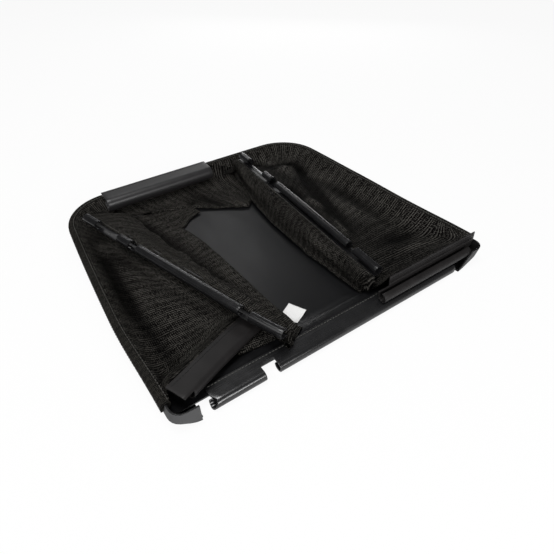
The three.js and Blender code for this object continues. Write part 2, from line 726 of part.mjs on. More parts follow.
function rightSection(s) {
  const end = sideLength + cornerLength + 0.38 * rearLength;
  const rimDistance = rimLength - mix(wallStart, end, s);
  const front = 1 - smooth(s, 0, 0.12);
  const edge = insideRim(rimDistance, MESH_EDGE_INSET, MESH_EDGE_Z);
  const valley = insideRim(rimDistance, VALLEY_INSET, VALLEY_HEIGHT);
  const along = TOP_CLIP_LENGTH * (1 - s);
  const beneath = inFrame(rightTopFrame, 0, -CLOTH_SAG, along);
  const slope = valley.clone().lerp(beneath, 0.5);
  slope.z = 2 * VALLEY_HEIGHT + WRINKLE * Math.sin(19 * s);
  valley.lerp(behindRightClip(0.07), front);
  slope.lerp(behindRightClip(0.5), front);
  beneath.lerp(behindRightClip(0.97), front);
  const crease = rightCrease.getPoint(s);
  const beyond = beneath.clone().lerp(crease, 0.5).setZ(1.5 * crease.z);
  const folded = fold(crease, flatDirection(crease, beneath));
  const edgeTop = inFrame(rightTopFrame, -TOP_STRIP / 3, -underStrip, along);
  const band = crease.clone().lerp(edgeTop, 0.5);
  band.z = mix(crease.z, edgeTop.z, 0.85);
  return [edge, valley, slope, beneath, beyond, ...folded, band, edgeTop];
}

const rearFoldHeight = TRAY_WALL + CLEARANCE + MESH / 2 + CREASE_RADIUS;
const rearCrease = line([
  place(-0.42, 0.865, rearFoldHeight),
  place(-0.22, 0.832, rearFoldHeight),
  place(-0.03, 0.766, rearFoldHeight),
  place(0.15, 0.705, rearFoldHeight),
]);

function rearSection(s) {
  const rimDistance = sideLength + cornerLength + rearLength * mix(0.045, 0.6, s);
  const edge = insideRim(rimDistance, MESH_EDGE_INSET, MESH_EDGE_Z);
  const valley = insideRim(rimDistance, 0.73 * VALLEY_INSET, VALLEY_HEIGHT);
  const crease = rearCrease.getPoint(s);
  const floor = valley.clone().lerp(crease, 0.5).setZ(rearFoldHeight - CREASE_RADIUS);
  const folded = fold(crease, new THREE.Vector3(0, 1, 0));
  const x = rearClipLeft + REAR_CLIP_LENGTH * mix(0.06, 0.98, s);
  const hookBottom = REAR_CLIP_TOP - rearOuter;
  const underHook = new THREE.Vector3(x, rearClipBack - 1.5 * rearOuter, FOLD_HEIGHT);
  const foot = crease.clone().lerp(underHook, 0.6).setZ(FOLD_HEIGHT);
  const belowHook = new THREE.Vector3(x, rearClipBack - 1.1 * rearOuter, 0.75 * hookBottom);
  const behindHook = new THREE.Vector3(x, rearClipBack - 0.22 * rearOuter, 1.2 * hookBottom);
  const top = REAR_CLIP_TOP - REAR_CLIP_WALL - underStrip;
  const edgeTop = new THREE.Vector3(x, rearClipBack - 0.15 * rearOuter, top);
  return [edge, valley, floor, ...folded, foot, belowHook, behindHook, edgeTop];
}

// Care label

// Lies on the floor and follows it up the ramp.
function careLabel() {
  const middle = place(-0.174, 0.153, 0);
  const turn = THREE.MathUtils.degToRad(27);
  const steps = 6;
  const grid = [];
  for (let i = 0; i <= steps; i += 1) {
    const row = [];
    for (let j = 0; j <= steps; j += 1) {
      const point = new THREE.Vector3(
        LABEL_WIDTH * (i / steps - 0.5),
        LABEL_LENGTH * (j / steps - 0.5),
        0,
      );
      point.applyAxisAngle(up, turn).add(middle);
      row.push(point.setZ(floorTop(point.y) + CLEARANCE + LABEL_THICKNESS));
    }
    grid.push(row);
  }
  return sheet(grid, LABEL_THICKNESS);
}

const bag = new THREE.Group();

function addPiece(name, geometry, material) {
  const mesh = new THREE.Mesh(geometry, material);
  mesh.name = name;
  geometry.computeVertexNormals();
  bag.add(mesh);
}

addPiece("floor_tray", floorTray(), MATERIALS.tray);
addPiece("rim_binding", rimBinding(), MATERIALS.binding);
addPiece("front_clip", frontClip(), MATERIALS.clip);
addPiece("left_front_clip", sideClip(leftFrontFrame, 0), MATERIALS.clip);
addPiece("right_front_clip", sideClip(rightFrontFrame, RIGHT_HOOK_REACH), MATERIALS.clip);
addPiece("left_top_clip", topClip(leftTopFrame, true), MATERIALS.clip);
addPiece("right_top_clip", topClip(rightTopFrame, false), MATERIALS.clip);
addPiece("rear_top_clip", rearClip(), MATERIALS.clip);
addPiece("left_wall_mesh", wall(leftSection, 26, 33), MATERIALS.mesh);
addPiece("right_wall_mesh", wall(rightSection, 26, 27), MATERIALS.mesh);
addPiece("rear_wall_mesh", wall(rearSection, 14, 27), MATERIALS.mesh);
addPiece("care_label", careLabel(), MATERIALS.label);

export default bag;
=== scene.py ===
# %% [markdown]
# A grass collection bag for a walk-behind mower, lying folded without its wire frame.
# The CAD model fixes every size and place. This notebook dresses it: the moulded tray gets its
# soft edges, the clips their extruded gloss, and the mesh walls their folds and weave.

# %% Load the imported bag
import math

import bmesh
import bpy
import numpy as np
from mathutils import Matrix, Vector, noise


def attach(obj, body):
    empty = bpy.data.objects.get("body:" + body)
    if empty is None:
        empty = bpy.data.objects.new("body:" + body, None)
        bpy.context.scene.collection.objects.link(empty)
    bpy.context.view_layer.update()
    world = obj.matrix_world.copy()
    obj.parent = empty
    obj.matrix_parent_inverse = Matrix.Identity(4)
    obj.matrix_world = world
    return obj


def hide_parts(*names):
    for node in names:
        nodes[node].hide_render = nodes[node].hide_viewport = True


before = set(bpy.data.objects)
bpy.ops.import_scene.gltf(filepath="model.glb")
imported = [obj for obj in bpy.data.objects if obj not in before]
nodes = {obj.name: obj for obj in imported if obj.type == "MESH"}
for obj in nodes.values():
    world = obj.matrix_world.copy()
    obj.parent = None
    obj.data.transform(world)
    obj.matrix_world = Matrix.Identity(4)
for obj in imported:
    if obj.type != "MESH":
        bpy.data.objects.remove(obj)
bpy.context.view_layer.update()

print("nodes:", sorted(nodes))

# %% [markdown]
# The bag is measured in millimetres, as its maker would draw it, and Blender works in metres.
# So every size below is written in millimetres, and one helper turns finished points into a
# mesh. Rounded shapes are shaded smooth, but edges sharper than a given angle stay crisp.

# %% Build a mesh piece
MM = 0.001


def make_piece(name, points, faces, sharp=40.0):
    mesh = bpy.data.meshes.new(name)
    mesh.from_pydata([tuple(MM * c for c in p) for p in points], [], faces)
    mesh.update()
    piece = bpy.data.objects.new(name, mesh)
    bpy.context.scene.collection.objects.link(piece)
    smooth_piece(piece, sharp)
    return piece


def grid_faces(rows, steps):
    wide = steps + 1
    return [
        (i * wide + j, (i + 1) * wide + j, (i + 1) * wide + j + 1, i * wide + j + 1)
        for i in range(rows)
        for j in range(steps)
    ]


def tube_faces(rings, count, first=0):
    faces = []
    for i in range(rings - 1):
        for j in range(count):
            a, b = first + i * count + j, first + i * count + (j + 1) % count
            faces.append((a, b, b + count, a + count))
    faces.append(tuple(range(first, first + count))[::-1])
    faces.append(tuple(range(first + (rings - 1) * count, first + rings * count)))
    return faces


def sweep(name, rings, sharp=40.0):
    points = [p for ring in rings for p in ring]
    return make_piece(name, points, tube_faces(len(rings), len(rings[0])), sharp)


def store_vector(piece, name, values):
    made = piece.data.attributes.new(name, "FLOAT_VECTOR", "POINT")
    made.data.foreach_set("vector", np.array(values, dtype=np.float32).ravel())


def smooth_piece(piece, sharp):
    work = bmesh.new()
    work.from_mesh(piece.data)
    bmesh.ops.recalc_face_normals(work, faces=work.faces)
    work.to_mesh(piece.data)
    work.free()
    piece.data.shade_smooth()
    piece.data.set_sharp_from_angle(angle=math.radians(sharp))


def apply_modifiers(piece):
    graph = bpy.context.evaluated_depsgraph_get()
    mesh = bpy.data.meshes.new_from_object(piece.evaluated_get(graph))
    piece.modifiers.clear()
    old = piece.data
    piece.data = mesh
    bpy.data.meshes.remove(old)


def smoothstep(x, low, high):
    t = np.clip((x - low) / (high - low), 0.0, 1.0)
    return t * t * (3 - 2 * t)


def mix(a, b, t):
    return a + (b - a) * t


def unit(way):
    return way / np.linalg.norm(way)


def running_total(steps, axis):
    return np.insert(np.cumsum(steps, axis=axis), 0, 0.0, axis=axis)


# %% [markdown]
# A thin tray full of cloth never lies quite true. In the photograph the left front corner is
# pulled in a little by the folded wall, and the right one leans out. One smooth function moves
# every point by a few millimetres, so that tray, binding and cloth stay together.

# %% Let the tray give a little
FRONT_Y = -200.0
REAR_Y = 195.0
RIM_HEIGHT = 24.0
LEFT_SKEW = 6.0
RIGHT_SKEW_FOOT, RIGHT_SKEW_RIM = -7.0, 5.0
RETURN_SKEW = 8.5


def give(points):
    p = np.array(points, dtype=float)
    x, y, z = p[:, 0].copy(), p[:, 1], p[:, 2]
    up = np.clip(z / RIM_HEIGHT, 0.0, 1.2)
    front = smoothstep(-y, 50.0, 190.0)
    left = smoothstep(-x, 120.0, 212.0)
    right = smoothstep(x, 110.0, 212.0)
    p[:, 0] += front * left * LEFT_SKEW * up
    p[:, 0] += front * right * mix(RIGHT_SKEW_FOOT, RIGHT_SKEW_RIM, up)
    left_return = smoothstep(-y, 188.0, 196.0) * smoothstep(x, -212.0, -188.0) * (x < -150.0)
    p[:, 0] += left_return * RETURN_SKEW * np.clip(up, 0, 1)
    return p


print("the left front rim moves to, mm:", np.round(give([(-215.0, -195.0, RIM_HEIGHT)])[0], 1))

# %% [markdown]
# Four kinds of finish cover the bag: woven, extruded, formed and spun. Each is mixed from noise
# and wave textures, so nothing repeats and nothing is painted from a picture. The textures
# follow coordinates stored on each mesh in millimetres, along the cloth or along the clips.

# %% Node helpers for the finishes
def set_up(tree, made, **values):
    """Settings of a node by name: a property, a plain input, or a link into an input."""
    for key, value in values.items():
        if hasattr(made, key):
            setattr(made, key, value)
        else:
            plug(tree, value, made.inputs[key.replace("_", " ")])
    return made


def plug(tree, value, socket):
    if isinstance(value, bpy.types.NodeSocket):
        tree.links.new(value, socket)
    else:
        socket.default_value = value


def node(tree, kind, **values):
    return set_up(tree, tree.nodes.new(kind), **values)


def new_material(name, rough, shine):
    material = bpy.data.materials.new(name)
    material.use_nodes = True
    tree = material.node_tree
    shader = tree.nodes["Principled BSDF"]
    set_up(tree, shader, Roughness=rough, Specular_IOR_Level=shine)
    return material, tree, shader


def two_inputs(tree, kind, operation, first, second):
    made = node(tree, kind, operation=operation)
    plug(tree, first, made.inputs[0])
    plug(tree, second, made.inputs[1])
    return made.outputs[0]


def times(tree, first, second):
    return two_inputs(tree, "ShaderNodeMath", "MULTIPLY", first, second)


def plus(tree, first, second):
    return two_inputs(tree, "ShaderNodeMath", "ADD", first, second)


def scaled(tree, vector, factors):
    return two_inputs(tree, "ShaderNodeVectorMath", "MULTIPLY", vector, factors)


def stored(tree, name):
    return node(tree, "ShaderNodeAttribute", attribute_name=name).outputs["Vector"]


def noise_node(tree, vector, scale, detail):
    made = node(tree, "ShaderNodeTexNoise", Vector=vector, Scale=scale, Detail=detail)
    return made.outputs["Fac"]


def wave_node(tree, vector, direction, pitch, wobble, wobble_scale):
    made = node(
        tree,
        "ShaderNodeTexWave",
        wave_type="BANDS",
        bands_direction=direction,
        Vector=vector,
        Scale=math.pi / (10 * pitch),
        Distortion=wobble,
        Detail=1.0,
        Detail_Scale=wobble_scale,
    )
    return made.outputs["Fac"]


def ramp(tree, factor, low, high, dark, light):
    made = node(tree, "ShaderNodeValToRGB", Fac=factor)
    for stop, position, colour in zip(made.color_ramp.elements, (low, high), (dark, light)):
        stop.position = position
        stop.color = (*colour, 1)
    return made.outputs["Color"]


def bump(tree, shader, height, strength, distance):
    made = node(tree, "ShaderNodeBump", Height=height, Strength=strength, Distance=distance)
    set_up(tree, shader, Normal=made.outputs["Normal"])


# %% [markdown]
# The wall cloth is an open plain weave of stiff dark threads, about two millimetres apart. Two
# crossed waves give the threads, and the gaps between them stay almost black. Light catches
# the cloth in ribs that run across each wall, broken by specks, so both go into its tint.
# Where a wall sinks towards the tray, shade is painted into its colour, and where it lifts, light
# is painted in.

# %% Woven mesh
MESH_PITCH, TAPE_PITCH, LABEL_PITCH = 2.2, 1.5, 0.6
RIB_SPACING = 1.25
WORN_SHARE, RIB_SHARE, SPECK_SHARE = 0.3, 0.31, 1.2
TINT_START, GAP_START = 0.81, 0.62
# How strongly painted shade darkens, and painted light lightens, the cloth's colour.
PAINTED_SHADE_STRENGTH, PAINTED_LIGHT_STRENGTH = -0.85, 0.7


def woven(name, pitch, hole, thread, light, depth, wobble):
    material, tree, shader = new_material(name, 0.78, 0.03)
    cloth = stored(tree, "cloth")
    warp = wave_node(tree, cloth, "X", pitch, wobble, 2.0)
    weft = wave_node(tree, cloth, "Y", pitch, wobble, 2.0)
    ribs = wave_node(tree, cloth, "X", RIB_SPACING * pitch, 3.5, 0.3)
    worn = noise_node(tree, cloth, 0.05, 4.0)
    speckle = noise_node(tree, scaled(tree, cloth, (1.0, 1.3, 1.0)), 0.88 / pitch, 2.0)
    crossing = times(tree, times(tree, warp, weft), 0.5)
    height = plus(tree, two_inputs(tree, "ShaderNodeMath", "MAXIMUM", warp, weft), crossing)
    glint = plus(tree, times(tree, worn, WORN_SHARE), times(tree, ribs, RIB_SHARE))
    glint = plus(tree, glint, times(tree, speckle, SPECK_SHARE))
    tint = ramp(tree, glint, TINT_START, 1.0, thread, light)
    colour = node(tree, "ShaderNodeMix", data_type="RGBA")
    gaps = ramp(tree, height, GAP_START, 1.0, (0, 0, 0), (1, 1, 1))
    colour = node(tree, "ShaderNodeMix", data_type="RGBA", Factor=gaps, A=(*hole, 1), B=tint)
    # Painted shade and painted light: the stored values darken the colour where the cloth sinks
    # and lighten it where it lifts.
    painted_light_shade = node(tree, "ShaderNodeSeparateXYZ", Vector=stored(tree, "painted_light_shade"))
    dim = times(tree, painted_light_shade.outputs["X"], PAINTED_SHADE_STRENGTH)
    painted_lift_light = times(tree, painted_light_shade.outputs["Y"], PAINTED_LIGHT_STRENGTH)
    painted_light_factor = plus(tree, plus(tree, dim, painted_lift_light), 1.0)
    shaded = node(tree, "ShaderNodeVectorMath", operation="SCALE", Scale=painted_light_factor)
    plug(tree, colour.outputs["Result"], shaded.inputs[0])
    set_up(tree, shader, Base_Color=shaded.outputs["Vector"])
    bump(tree, shader, height, depth, 0.0006)
    return material


mesh_cloth = woven(
    "mesh_fabric",
    MESH_PITCH,
    hole=(0.001, 0.001, 0.0009),
    thread=(0.0022, 0.002, 0.0018),
    light=(0.074, 0.07, 0.063),
    depth=0.8,
    wobble=0.9,
)
binding_tape = woven(
    "binding_fabric",
    TAPE_PITCH,
    hole=(0.002, 0.002, 0.0018),
    thread=(0.006, 0.0058, 0.0052),
    light=(0.046, 0.043, 0.038),
    depth=0.6,
    wobble=0.6,
)
label_cloth = woven(
    "label_fabric",
    LABEL_PITCH,
    hole=(0.75, 0.75, 0.74),
    thread=(0.82, 0.82, 0.81),
    light=(0.87, 0.87, 0.86),
    depth=0.1,
    wobble=0.1,
)
print("woven:", mesh_cloth.name, binding_tape.name, label_cloth.name)

# %% [markdown]
# The clips are extruded, so their gloss is drawn out into faint lines that run the length of
# the piece. Noise that is squeezed across the section and stretched along it gives that. The
# front clip is the glossiest, and the side clips and the rear one are duller from use.

# %% Extruded clip plastic
def extruded(name, base, rough, shine):
    material, tree, shader = new_material(name, rough, shine)
    along = stored(tree, "clip")
    streaks = noise_node(tree, scaled(tree, along, (0.45, 0.45, 0.012)), 1.0, 2.0)
    cloudy = noise_node(tree, along, 0.05, 4.0)
    colour = ramp(tree, cloudy, 0.3, 0.75, base, tuple(1.5 * c for c in base))
    spread = times(tree, plus(tree, streaks, cloudy), 0.16)
    set_up(tree, shader, Base_Color=colour, Roughness=plus(tree, spread, rough - 0.16))
    bump(tree, shader, streaks, 0.06, 0.0003)
    return material


clip_plastic = extruded("clip_plastic", (0.0055, 0.0055, 0.006), 0.27, 0.38)
front_clip_plastic = extruded("clip_plastic_front", (0.006, 0.006, 0.0065), 0.27, 0.7)
rear_clip_plastic = extruded("clip_plastic_rear", (0.014, 0.0135, 0.014), 0.4, 0.4)
matt_clip_plastic = extruded("clip_plastic_matt", (0.0095, 0.0086, 0.0086), 0.46, 0.25)
print("finishes so far:", len(bpy.data.materials))

# %% [markdown]
# The tray is formed from sheet. Its skin has a fine grain, and large calm areas reflect the
# studio a little unevenly, because the sheet cools out of true. Both are bumps: one about a
# millimetre across, one about a decimetre.

# %% Formed tray plastic
def formed(name, dark, light, rough):
    material, tree, shader = new_material(name, rough, 0.26)
    spot = node(tree, "ShaderNodeTexCoord").outputs["Object"]
    grain = noise_node(tree, spot, 900.0, 2.0)
    calm = noise_node(tree, spot, 9.0, 1.0)
    scuffs = noise_node(tree, scaled(tree, spot, (1.0, 0.25, 1.0)), 60.0, 5.0)
    colour = ramp(tree, calm, 0.3, 0.7, dark, light)
    spread = plus(tree, times(tree, scuffs, 0.2), rough - 0.1)
    set_up(tree, shader, Base_Color=colour, Roughness=spread)
    bump(tree, shader, plus(tree, times(tree, grain, 0.1), times(tree, calm, 3.0)), 0.5, 0.0012)
    return material


tray_plastic = formed("tray_plastic", (0.005, 0.005, 0.0056), (0.008, 0.008, 0.0086), 0.37)
outer_plastic = formed("tray_plastic_outer", (0.064, 0.064, 0.065), (0.086, 0.086, 0.088), 0.62)
print("formed:", tray_plastic.name, outer_plastic.name)

# %% [markdown]
# A finished piece takes its material and rides on the bag's one body, and the solids of the CAD
# model that it stands for are hidden.

# %% Finish a piece
def finish_piece(piece, material, slot, *replaced):
    piece.data.materials.clear()
    for one in material if isinstance(material, tuple) else (material,):
        piece.data.materials.append(one)
    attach(piece, "root")
    if replaced:
        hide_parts(*replaced)


# %% [markdown]
# The floor tray comes straight from the CAD solid: its mesh is copied, given the slight skew
# and rounded along its edges with a small bevel, since formed sheet has no knife edges.

# %% Floor tray
TRAY_EDGE = 0.5
FLAT_ANGLE = math.radians(1.0)


def floor_tray():
    tray = nodes["floor_tray"].copy()
    tray.data = nodes["floor_tray"].data.copy()
    tray.name = "formed_tray"
    tray.parent = None
    tray.matrix_world = Matrix.Identity(4)
    bpy.context.scene.collection.objects.link(tray)
    work = bmesh.new()
    work.from_mesh(tray.data)
    bmesh.ops.remove_doubles(work, verts=work.verts, dist=0.01 * MM)
    bmesh.ops.dissolve_limit(work, angle_limit=FLAT_ANGLE, verts=work.verts, edges=work.edges)
    work.to_mesh(tray.data)
    work.free()
    bevel = tray.modifiers.new("edge", "BEVEL")
    bevel.width = TRAY_EDGE * MM
    bevel.segments = 2
    bevel.angle_limit = math.radians(50)
    apply_modifiers(tray)
    moved = give([v.co / MM for v in tray.data.vertices])
    for vertex, spot in zip(tray.data.vertices, moved):
        vertex.co = Vector(spot) * MM
    smooth_piece(tray, 35)
    return tray


EDGE_PLACE = 0.17
OUTWARD_LEAST, UPWARD_MOST = 0.35, 0.45


def lighter_outside_faces(piece):
    """Faces at the edge that look outward and sideways take the second, lighter grey finish."""
    for face in piece.data.polygons:
        outward = face.normal.dot(Vector((face.center.x, face.center.y, 0.0)).normalized())
        at_edge = max(abs(face.center.x), abs(face.center.y)) > EDGE_PLACE
        sideways = outward > OUTWARD_LEAST and face.normal.z < UPWARD_MOST
        face.material_index = int(at_edge and sideways)


tray = floor_tray()
finish_piece(tray, (tray_plastic, outer_plastic), "tray_plastic", "floor_tray")
lighter_outside_faces(tray)
print("tray faces:", len(tray.data.polygons))

# %% [markdown]
# Everything sewn to the tray follows its rim: a bowed side, a round rear corner, the straight
# rear edge, and the same again mirrored. The helper gives the place at any distance along it,
# and how far to step inward.

# %% Rim line
FRONT_WIDTH = 438.0
REAR_WIDTH = 396.0
SIDE_BOW = 4.0
CORNER_RADIUS = 62.0

foot = np.array([-FRONT_WIDTH / 2, FRONT_Y])
head = np.array([-REAR_WIDTH / 2, REAR_Y])
chord = head - foot
side_radius = (chord @ chord / 4 + SIDE_BOW**2) / (2 * SIDE_BOW)
across = np.array([chord[1], -chord[0]]) / np.linalg.norm(chord)
side_centre = (foot + head) / 2 + across * (side_radius - SIDE_BOW)


def side_angle(y, radius):
    return math.pi - math.asin((y - side_centre[1]) / radius)


side_start = side_angle(FRONT_Y, side_radius)
corner_start = side_angle(REAR_Y - CORNER_RADIUS, side_radius - CORNER_RADIUS)
corner_normal = np.array([math.cos(corner_start), math.sin(corner_start)])
corner_centre = side_centre + corner_normal * (side_radius - CORNER_RADIUS)
side_length = side_radius * (side_start - corner_start)
corner_length = CORNER_RADIUS * (corner_start - math.pi / 2)
rear_length = -2 * corner_centre[0]
rim_length = 2 * (side_length + corner_length) + rear_length


def rim_at(distance):
    if distance > rim_length / 2:
        x, y, nx, ny = rim_at(rim_length - distance)
        return -x, y, -nx, ny
    if distance <= side_length:
        angle = side_start - distance / side_radius
        centre, radius = side_centre, side_radius
    elif distance <= side_length + corner_length:
        angle = corner_start - (distance - side_length) / CORNER_RADIUS
        centre, radius = corner_centre, CORNER_RADIUS
    else:
        return corner_centre[0] + distance - side_length - corner_length, REAR_Y, 0.0, 1.0
    nx, ny = math.cos(angle), math.sin(angle)
    return centre[0] + radius * nx, centre[1] + radius * ny, nx, ny


def inside_rim(distance, inset, z):
    x, y, nx, ny = rim_at(distance)
    return np.array([x - nx * inset, y - ny * inset, z])


def place(across_share, back_share, z):
    return np.array([across_share * FRONT_WIDTH / 2, FRONT_Y + back_share * (REAR_Y - FRONT_Y), z])


print("rim length, mm:", round(rim_length))

# %% [markdown]
# The binding is a tape folded over the rim and sewn through. Its section is swept along the
# rim, and the tape swells and narrows a little between stitches, as sewn tape does.

# %% Rim binding
BINDING_HALF = 5.0
BINDING_TOP = RIM_HEIGHT + 4.0
BINDING_BOTTOM = RIM_HEIGHT - 8.0
BINDING_STOP = 19.0
GRIP_GAP = 1.3
STITCH_PITCH = 4.0
STITCH_SWELL, TAPE_SWELL, TAPE_LIFT = 0.12, 0.35, 0.5


def binding_section(swell):
    half = BINDING_HALF + swell
    middle = BINDING_TOP - BINDING_HALF
    arc = [math.pi * i / 14 for i in range(15)]
    outer = [(half * math.cos(a), middle + BINDING_HALF * math.sin(a)) for a in arc]
    tucked = [
        (half - 0.2, BINDING_BOTTOM + 2.5),
        (half - 0.9, BINDING_BOTTOM + 0.3),
        (GRIP_GAP + 0.6, BINDING_BOTTOM),
        (GRIP_GAP, BINDING_BOTTOM + 0.5),
        (GRIP_GAP, RIM_HEIGHT + 0.3),
    ]
    return outer + [(-u, v) for u, v in tucked] + tucked[::-1]


def rim_binding():
    stations = np.arange(BINDING_STOP, rim_length - BINDING_STOP, STITCH_PITCH)
    rings, cloth = [], []
    for index, distance in enumerate(stations):
        swell = STITCH_SWELL * math.cos(math.pi * index)
        swell += TAPE_SWELL * noise.noise(Vector((distance * 0.02, 3.0, 0.0)))
        section = binding_section(min(swell, 0.0))
        lift = TAPE_LIFT * noise.noise(Vector((distance * 0.013, 9.0, 0.0)))
        rings.append(give([inside_rim(distance, -u, v + min(lift, 0.0)) for u, v in section]))
        girth = 0.0
        for k, (u, v) in enumerate(section):
            girth += math.dist((u, v), section[k - 1]) if k else 0.0
            cloth.append((distance, girth, 0.0))
    piece = sweep("rim_tape", rings, sharp=60)
    store_vector(piece, "cloth", cloth)
    return piece


binding = rim_binding()
finish_piece(binding, binding_tape, "binding_fabric", "rim_binding")
print("binding faces:", len(binding.data.polygons))

# %% [markdown]
# Each clip is one extruded section: a flat sewing strip whose edge curls over into a hook. The
# section is drawn once, swept in small steps so that it can bow, and the hook is cut away with
# boolean boxes where the frame's cross wires pass.

# %% Clip section and its frame
CLIP_WALL = 1.5
CLIP_BORE = 9.4
CLIP_MOUTH = 5.2
CLIP_OUTER = CLIP_BORE + 2 * CLIP_WALL
FRONT_CLIP_TOP = CLIP_OUTER + 0.2


def arc_points(centre, radius, start, end, steps):
    angles = [mix(start, end, i / steps) for i in range(steps + 1)]
    return [(centre[0] + radius * math.cos(a), centre[1] + radius * math.sin(a)) for a in angles]


def hook_section(strip, wall=CLIP_WALL, bore=CLIP_BORE, mouth=CLIP_MOUTH):
    inner, outer = bore / 2, bore / 2 + wall
    centre = (0.0, outer)
    lip = math.pi - math.asin((mouth + wall - outer) / inner)
    lip_centre = arc_points(centre, inner + wall / 2, lip, lip, 1)[0]
    groove = strip / 2
    underside = [(-strip + wall / 3 + (strip - wall / 3) * t, 0.0) for t in (0.0, 0.35, 0.7)]
    return (
        [(-strip, wall / 3)]
        + underside
        + arc_points(centre, outer, -math.pi / 2, lip, 36)
        + arc_points(lip_centre, wall / 2, lip, lip + math.pi, 8)[1:-1]
        + arc_points(centre, inner, lip, -math.pi / 2, 30)
        + [(-groove + 0.7, wall), (-groove, wall - 0.35), (-groove - 0.7, wall)]
        + [(-strip + wall / 3, wall), (-strip, 2 * wall / 3)]
    )


class ClipFrame:
    """Where a clip lies: its start, the way its strip points, its hook's side and its run."""

    def __init__(self, start, across_way, up_way):
        self.start = np.array(start, dtype=float)
        self.across = unit(across_way)
        self.up = unit(up_way - self.across * (up_way @ self.across))
        self.run = np.cross(self.across, self.up)

    def at(self, a, u, distance):
        return self.start + self.across * a + self.up * u + self.run * distance


Y, Z = np.eye(3)[1:]
FRONT_STRIP = 18.0
FRONT_LENGTH = 350.0
SIDE_STRIP = 20.0
SIDE_LENGTH = 145.0
HOOK_REACH = 16.0
TOP_STRIP = 15.0
TOP_LENGTH = 334.0
TOP_HEIGHT = 30.0
SETBACK, STACK_GAP = 2.0, 0.6

front_frame = ClipFrame((-FRONT_LENGTH / 2, FRONT_Y + CLIP_OUTER / 2, FRONT_CLIP_TOP), -Y, -Z)
left_outer = place(-0.94, 0.034, 31.0)
left_inner = place(-0.356, 0.163, 18.0)
left_run = unit(left_inner - left_outer)
left_down = -Z + left_run * left_run[2]
left_front_frame = ClipFrame(left_outer, np.cross(left_down, left_run), left_down)
right_setback = (SETBACK + CLIP_OUTER + STACK_GAP) / (REAR_Y - FRONT_Y)
right_height = FRONT_CLIP_TOP + CLIP_OUTER / 2 + STACK_GAP
right_inner = place(0.274, right_setback, right_height)
right_outer = place(0.963, right_setback, right_height)
right_run = unit(right_inner - right_outer)
right_down = np.array([0.0, -0.09, -1.0])
right_front_frame = ClipFrame(right_outer, right_down, np.cross(right_run, right_down))
left_near, left_far = place(-0.384, 0.042, TOP_HEIGHT), place(-0.822, 0.837, TOP_HEIGHT)
right_near, right_far = place(0.292, 0.082, TOP_HEIGHT + 1.2), place(0.374, 0.93, TOP_HEIGHT + 1.2)
left_top_run = unit(left_far - left_near)
right_top_run = unit(right_near - right_far)
left_top_frame = ClipFrame(left_near, np.cross(Z, left_top_run), Z)
right_top_start = right_near - right_top_run * TOP_LENGTH
right_top_frame = ClipFrame(right_top_start, np.cross(Z, right_top_run), Z)
REAR_WALL, REAR_BORE, REAR_MOUTH = 1.8, 16.4, 9.0
REAR_STRIP, REAR_LENGTH, REAR_TOP, REAR_SETBACK = 20.0, 166.0, 40.0, 13.0
rear_outer = REAR_BORE + 2 * REAR_WALL
rear_left = place(-0.667, 1.0, 0.0)[0]
rear_back = REAR_Y - REAR_SETBACK
rear_frame = ClipFrame((rear_left, rear_back - REAR_STRIP, REAR_TOP), -Y, -Z)

print("left front clip starts at, mm:", np.round(left_outer, 1))

# %% [markdown]
# A clip is swept in short steps, its notches are cut by boxes given in its own directions, and
# its edges get a small round, as sawn plastic has. The same directions are stored on the mesh,
# so the drawn-out gloss follows the clip when it bows.

# %% Sweep, notch and round a clip
CLIP_STEP = 6.0
CLIP_EDGE = 0.22


def box_cutter(clip_frame, a_range, u_range, l_range):
    corners = [clip_frame.at(a, u, d) for a in a_range for u in u_range for d in l_range]
    faces = [(0, 1, 3, 2), (4, 6, 7, 5), (0, 4, 5, 1), (2, 3, 7, 6), (0, 2, 6, 4), (1, 5, 7, 3)]
    return make_piece("cutter", corners, faces)


def fit_clip(name, clip_frame, section, length, cuts, finish, replaced, bow=None):
    steps = max(2, round(length / CLIP_STEP))
    rings = [
        [clip_frame.at(a, u, length * i / steps) for a, u in section] for i in range(steps + 1)
    ]
    piece = sweep(name, rings)
    for cut in cuts:
        cutter = box_cutter(clip_frame, *cut)
        notch = piece.modifiers.new("notch", "BOOLEAN")
        notch.operation, notch.solver, notch.object = "DIFFERENCE", "EXACT", cutter
        apply_modifiers(piece)
        bpy.data.objects.remove(cutter)
    edge = piece.modifiers.new("edge", "BEVEL")
    edge.width, edge.segments, edge.angle_limit = CLIP_EDGE * MM, 2, math.radians(50)
    apply_modifiers(piece)
    points = np.array([v.co for v in piece.data.vertices]) / MM
    local = points - clip_frame.start
    grain = np.stack([local @ clip_frame.across, local @ clip_frame.up, local @ clip_frame.run], 1)
    if bow is not None:
        points = points + bow(grain)
    points = give(points)
    piece.data.vertices.foreach_set("co", (points * MM).astype(np.float32).ravel())
    store_vector(piece, "clip", grain)
    smooth_piece(piece, 32)
    finish_piece(piece, finish, "clip_plastic", replaced)
    print(name, "faces:", len(piece.data.polygons))


def hook_cut(start, end, depth=CLIP_WALL):
    return (-CLIP_OUTER, CLIP_OUTER), (depth, CLIP_OUTER + 1), (start, end)


# %% [markdown]
# The front clip is sewn to the ledge of the tray, and one notch clears the frame's centre wire.
# The two side clips hold the front edges of the mesh: the left one lies on its back, the right
# one stands on the front clip. Their hooks stop short of the tray's corners.

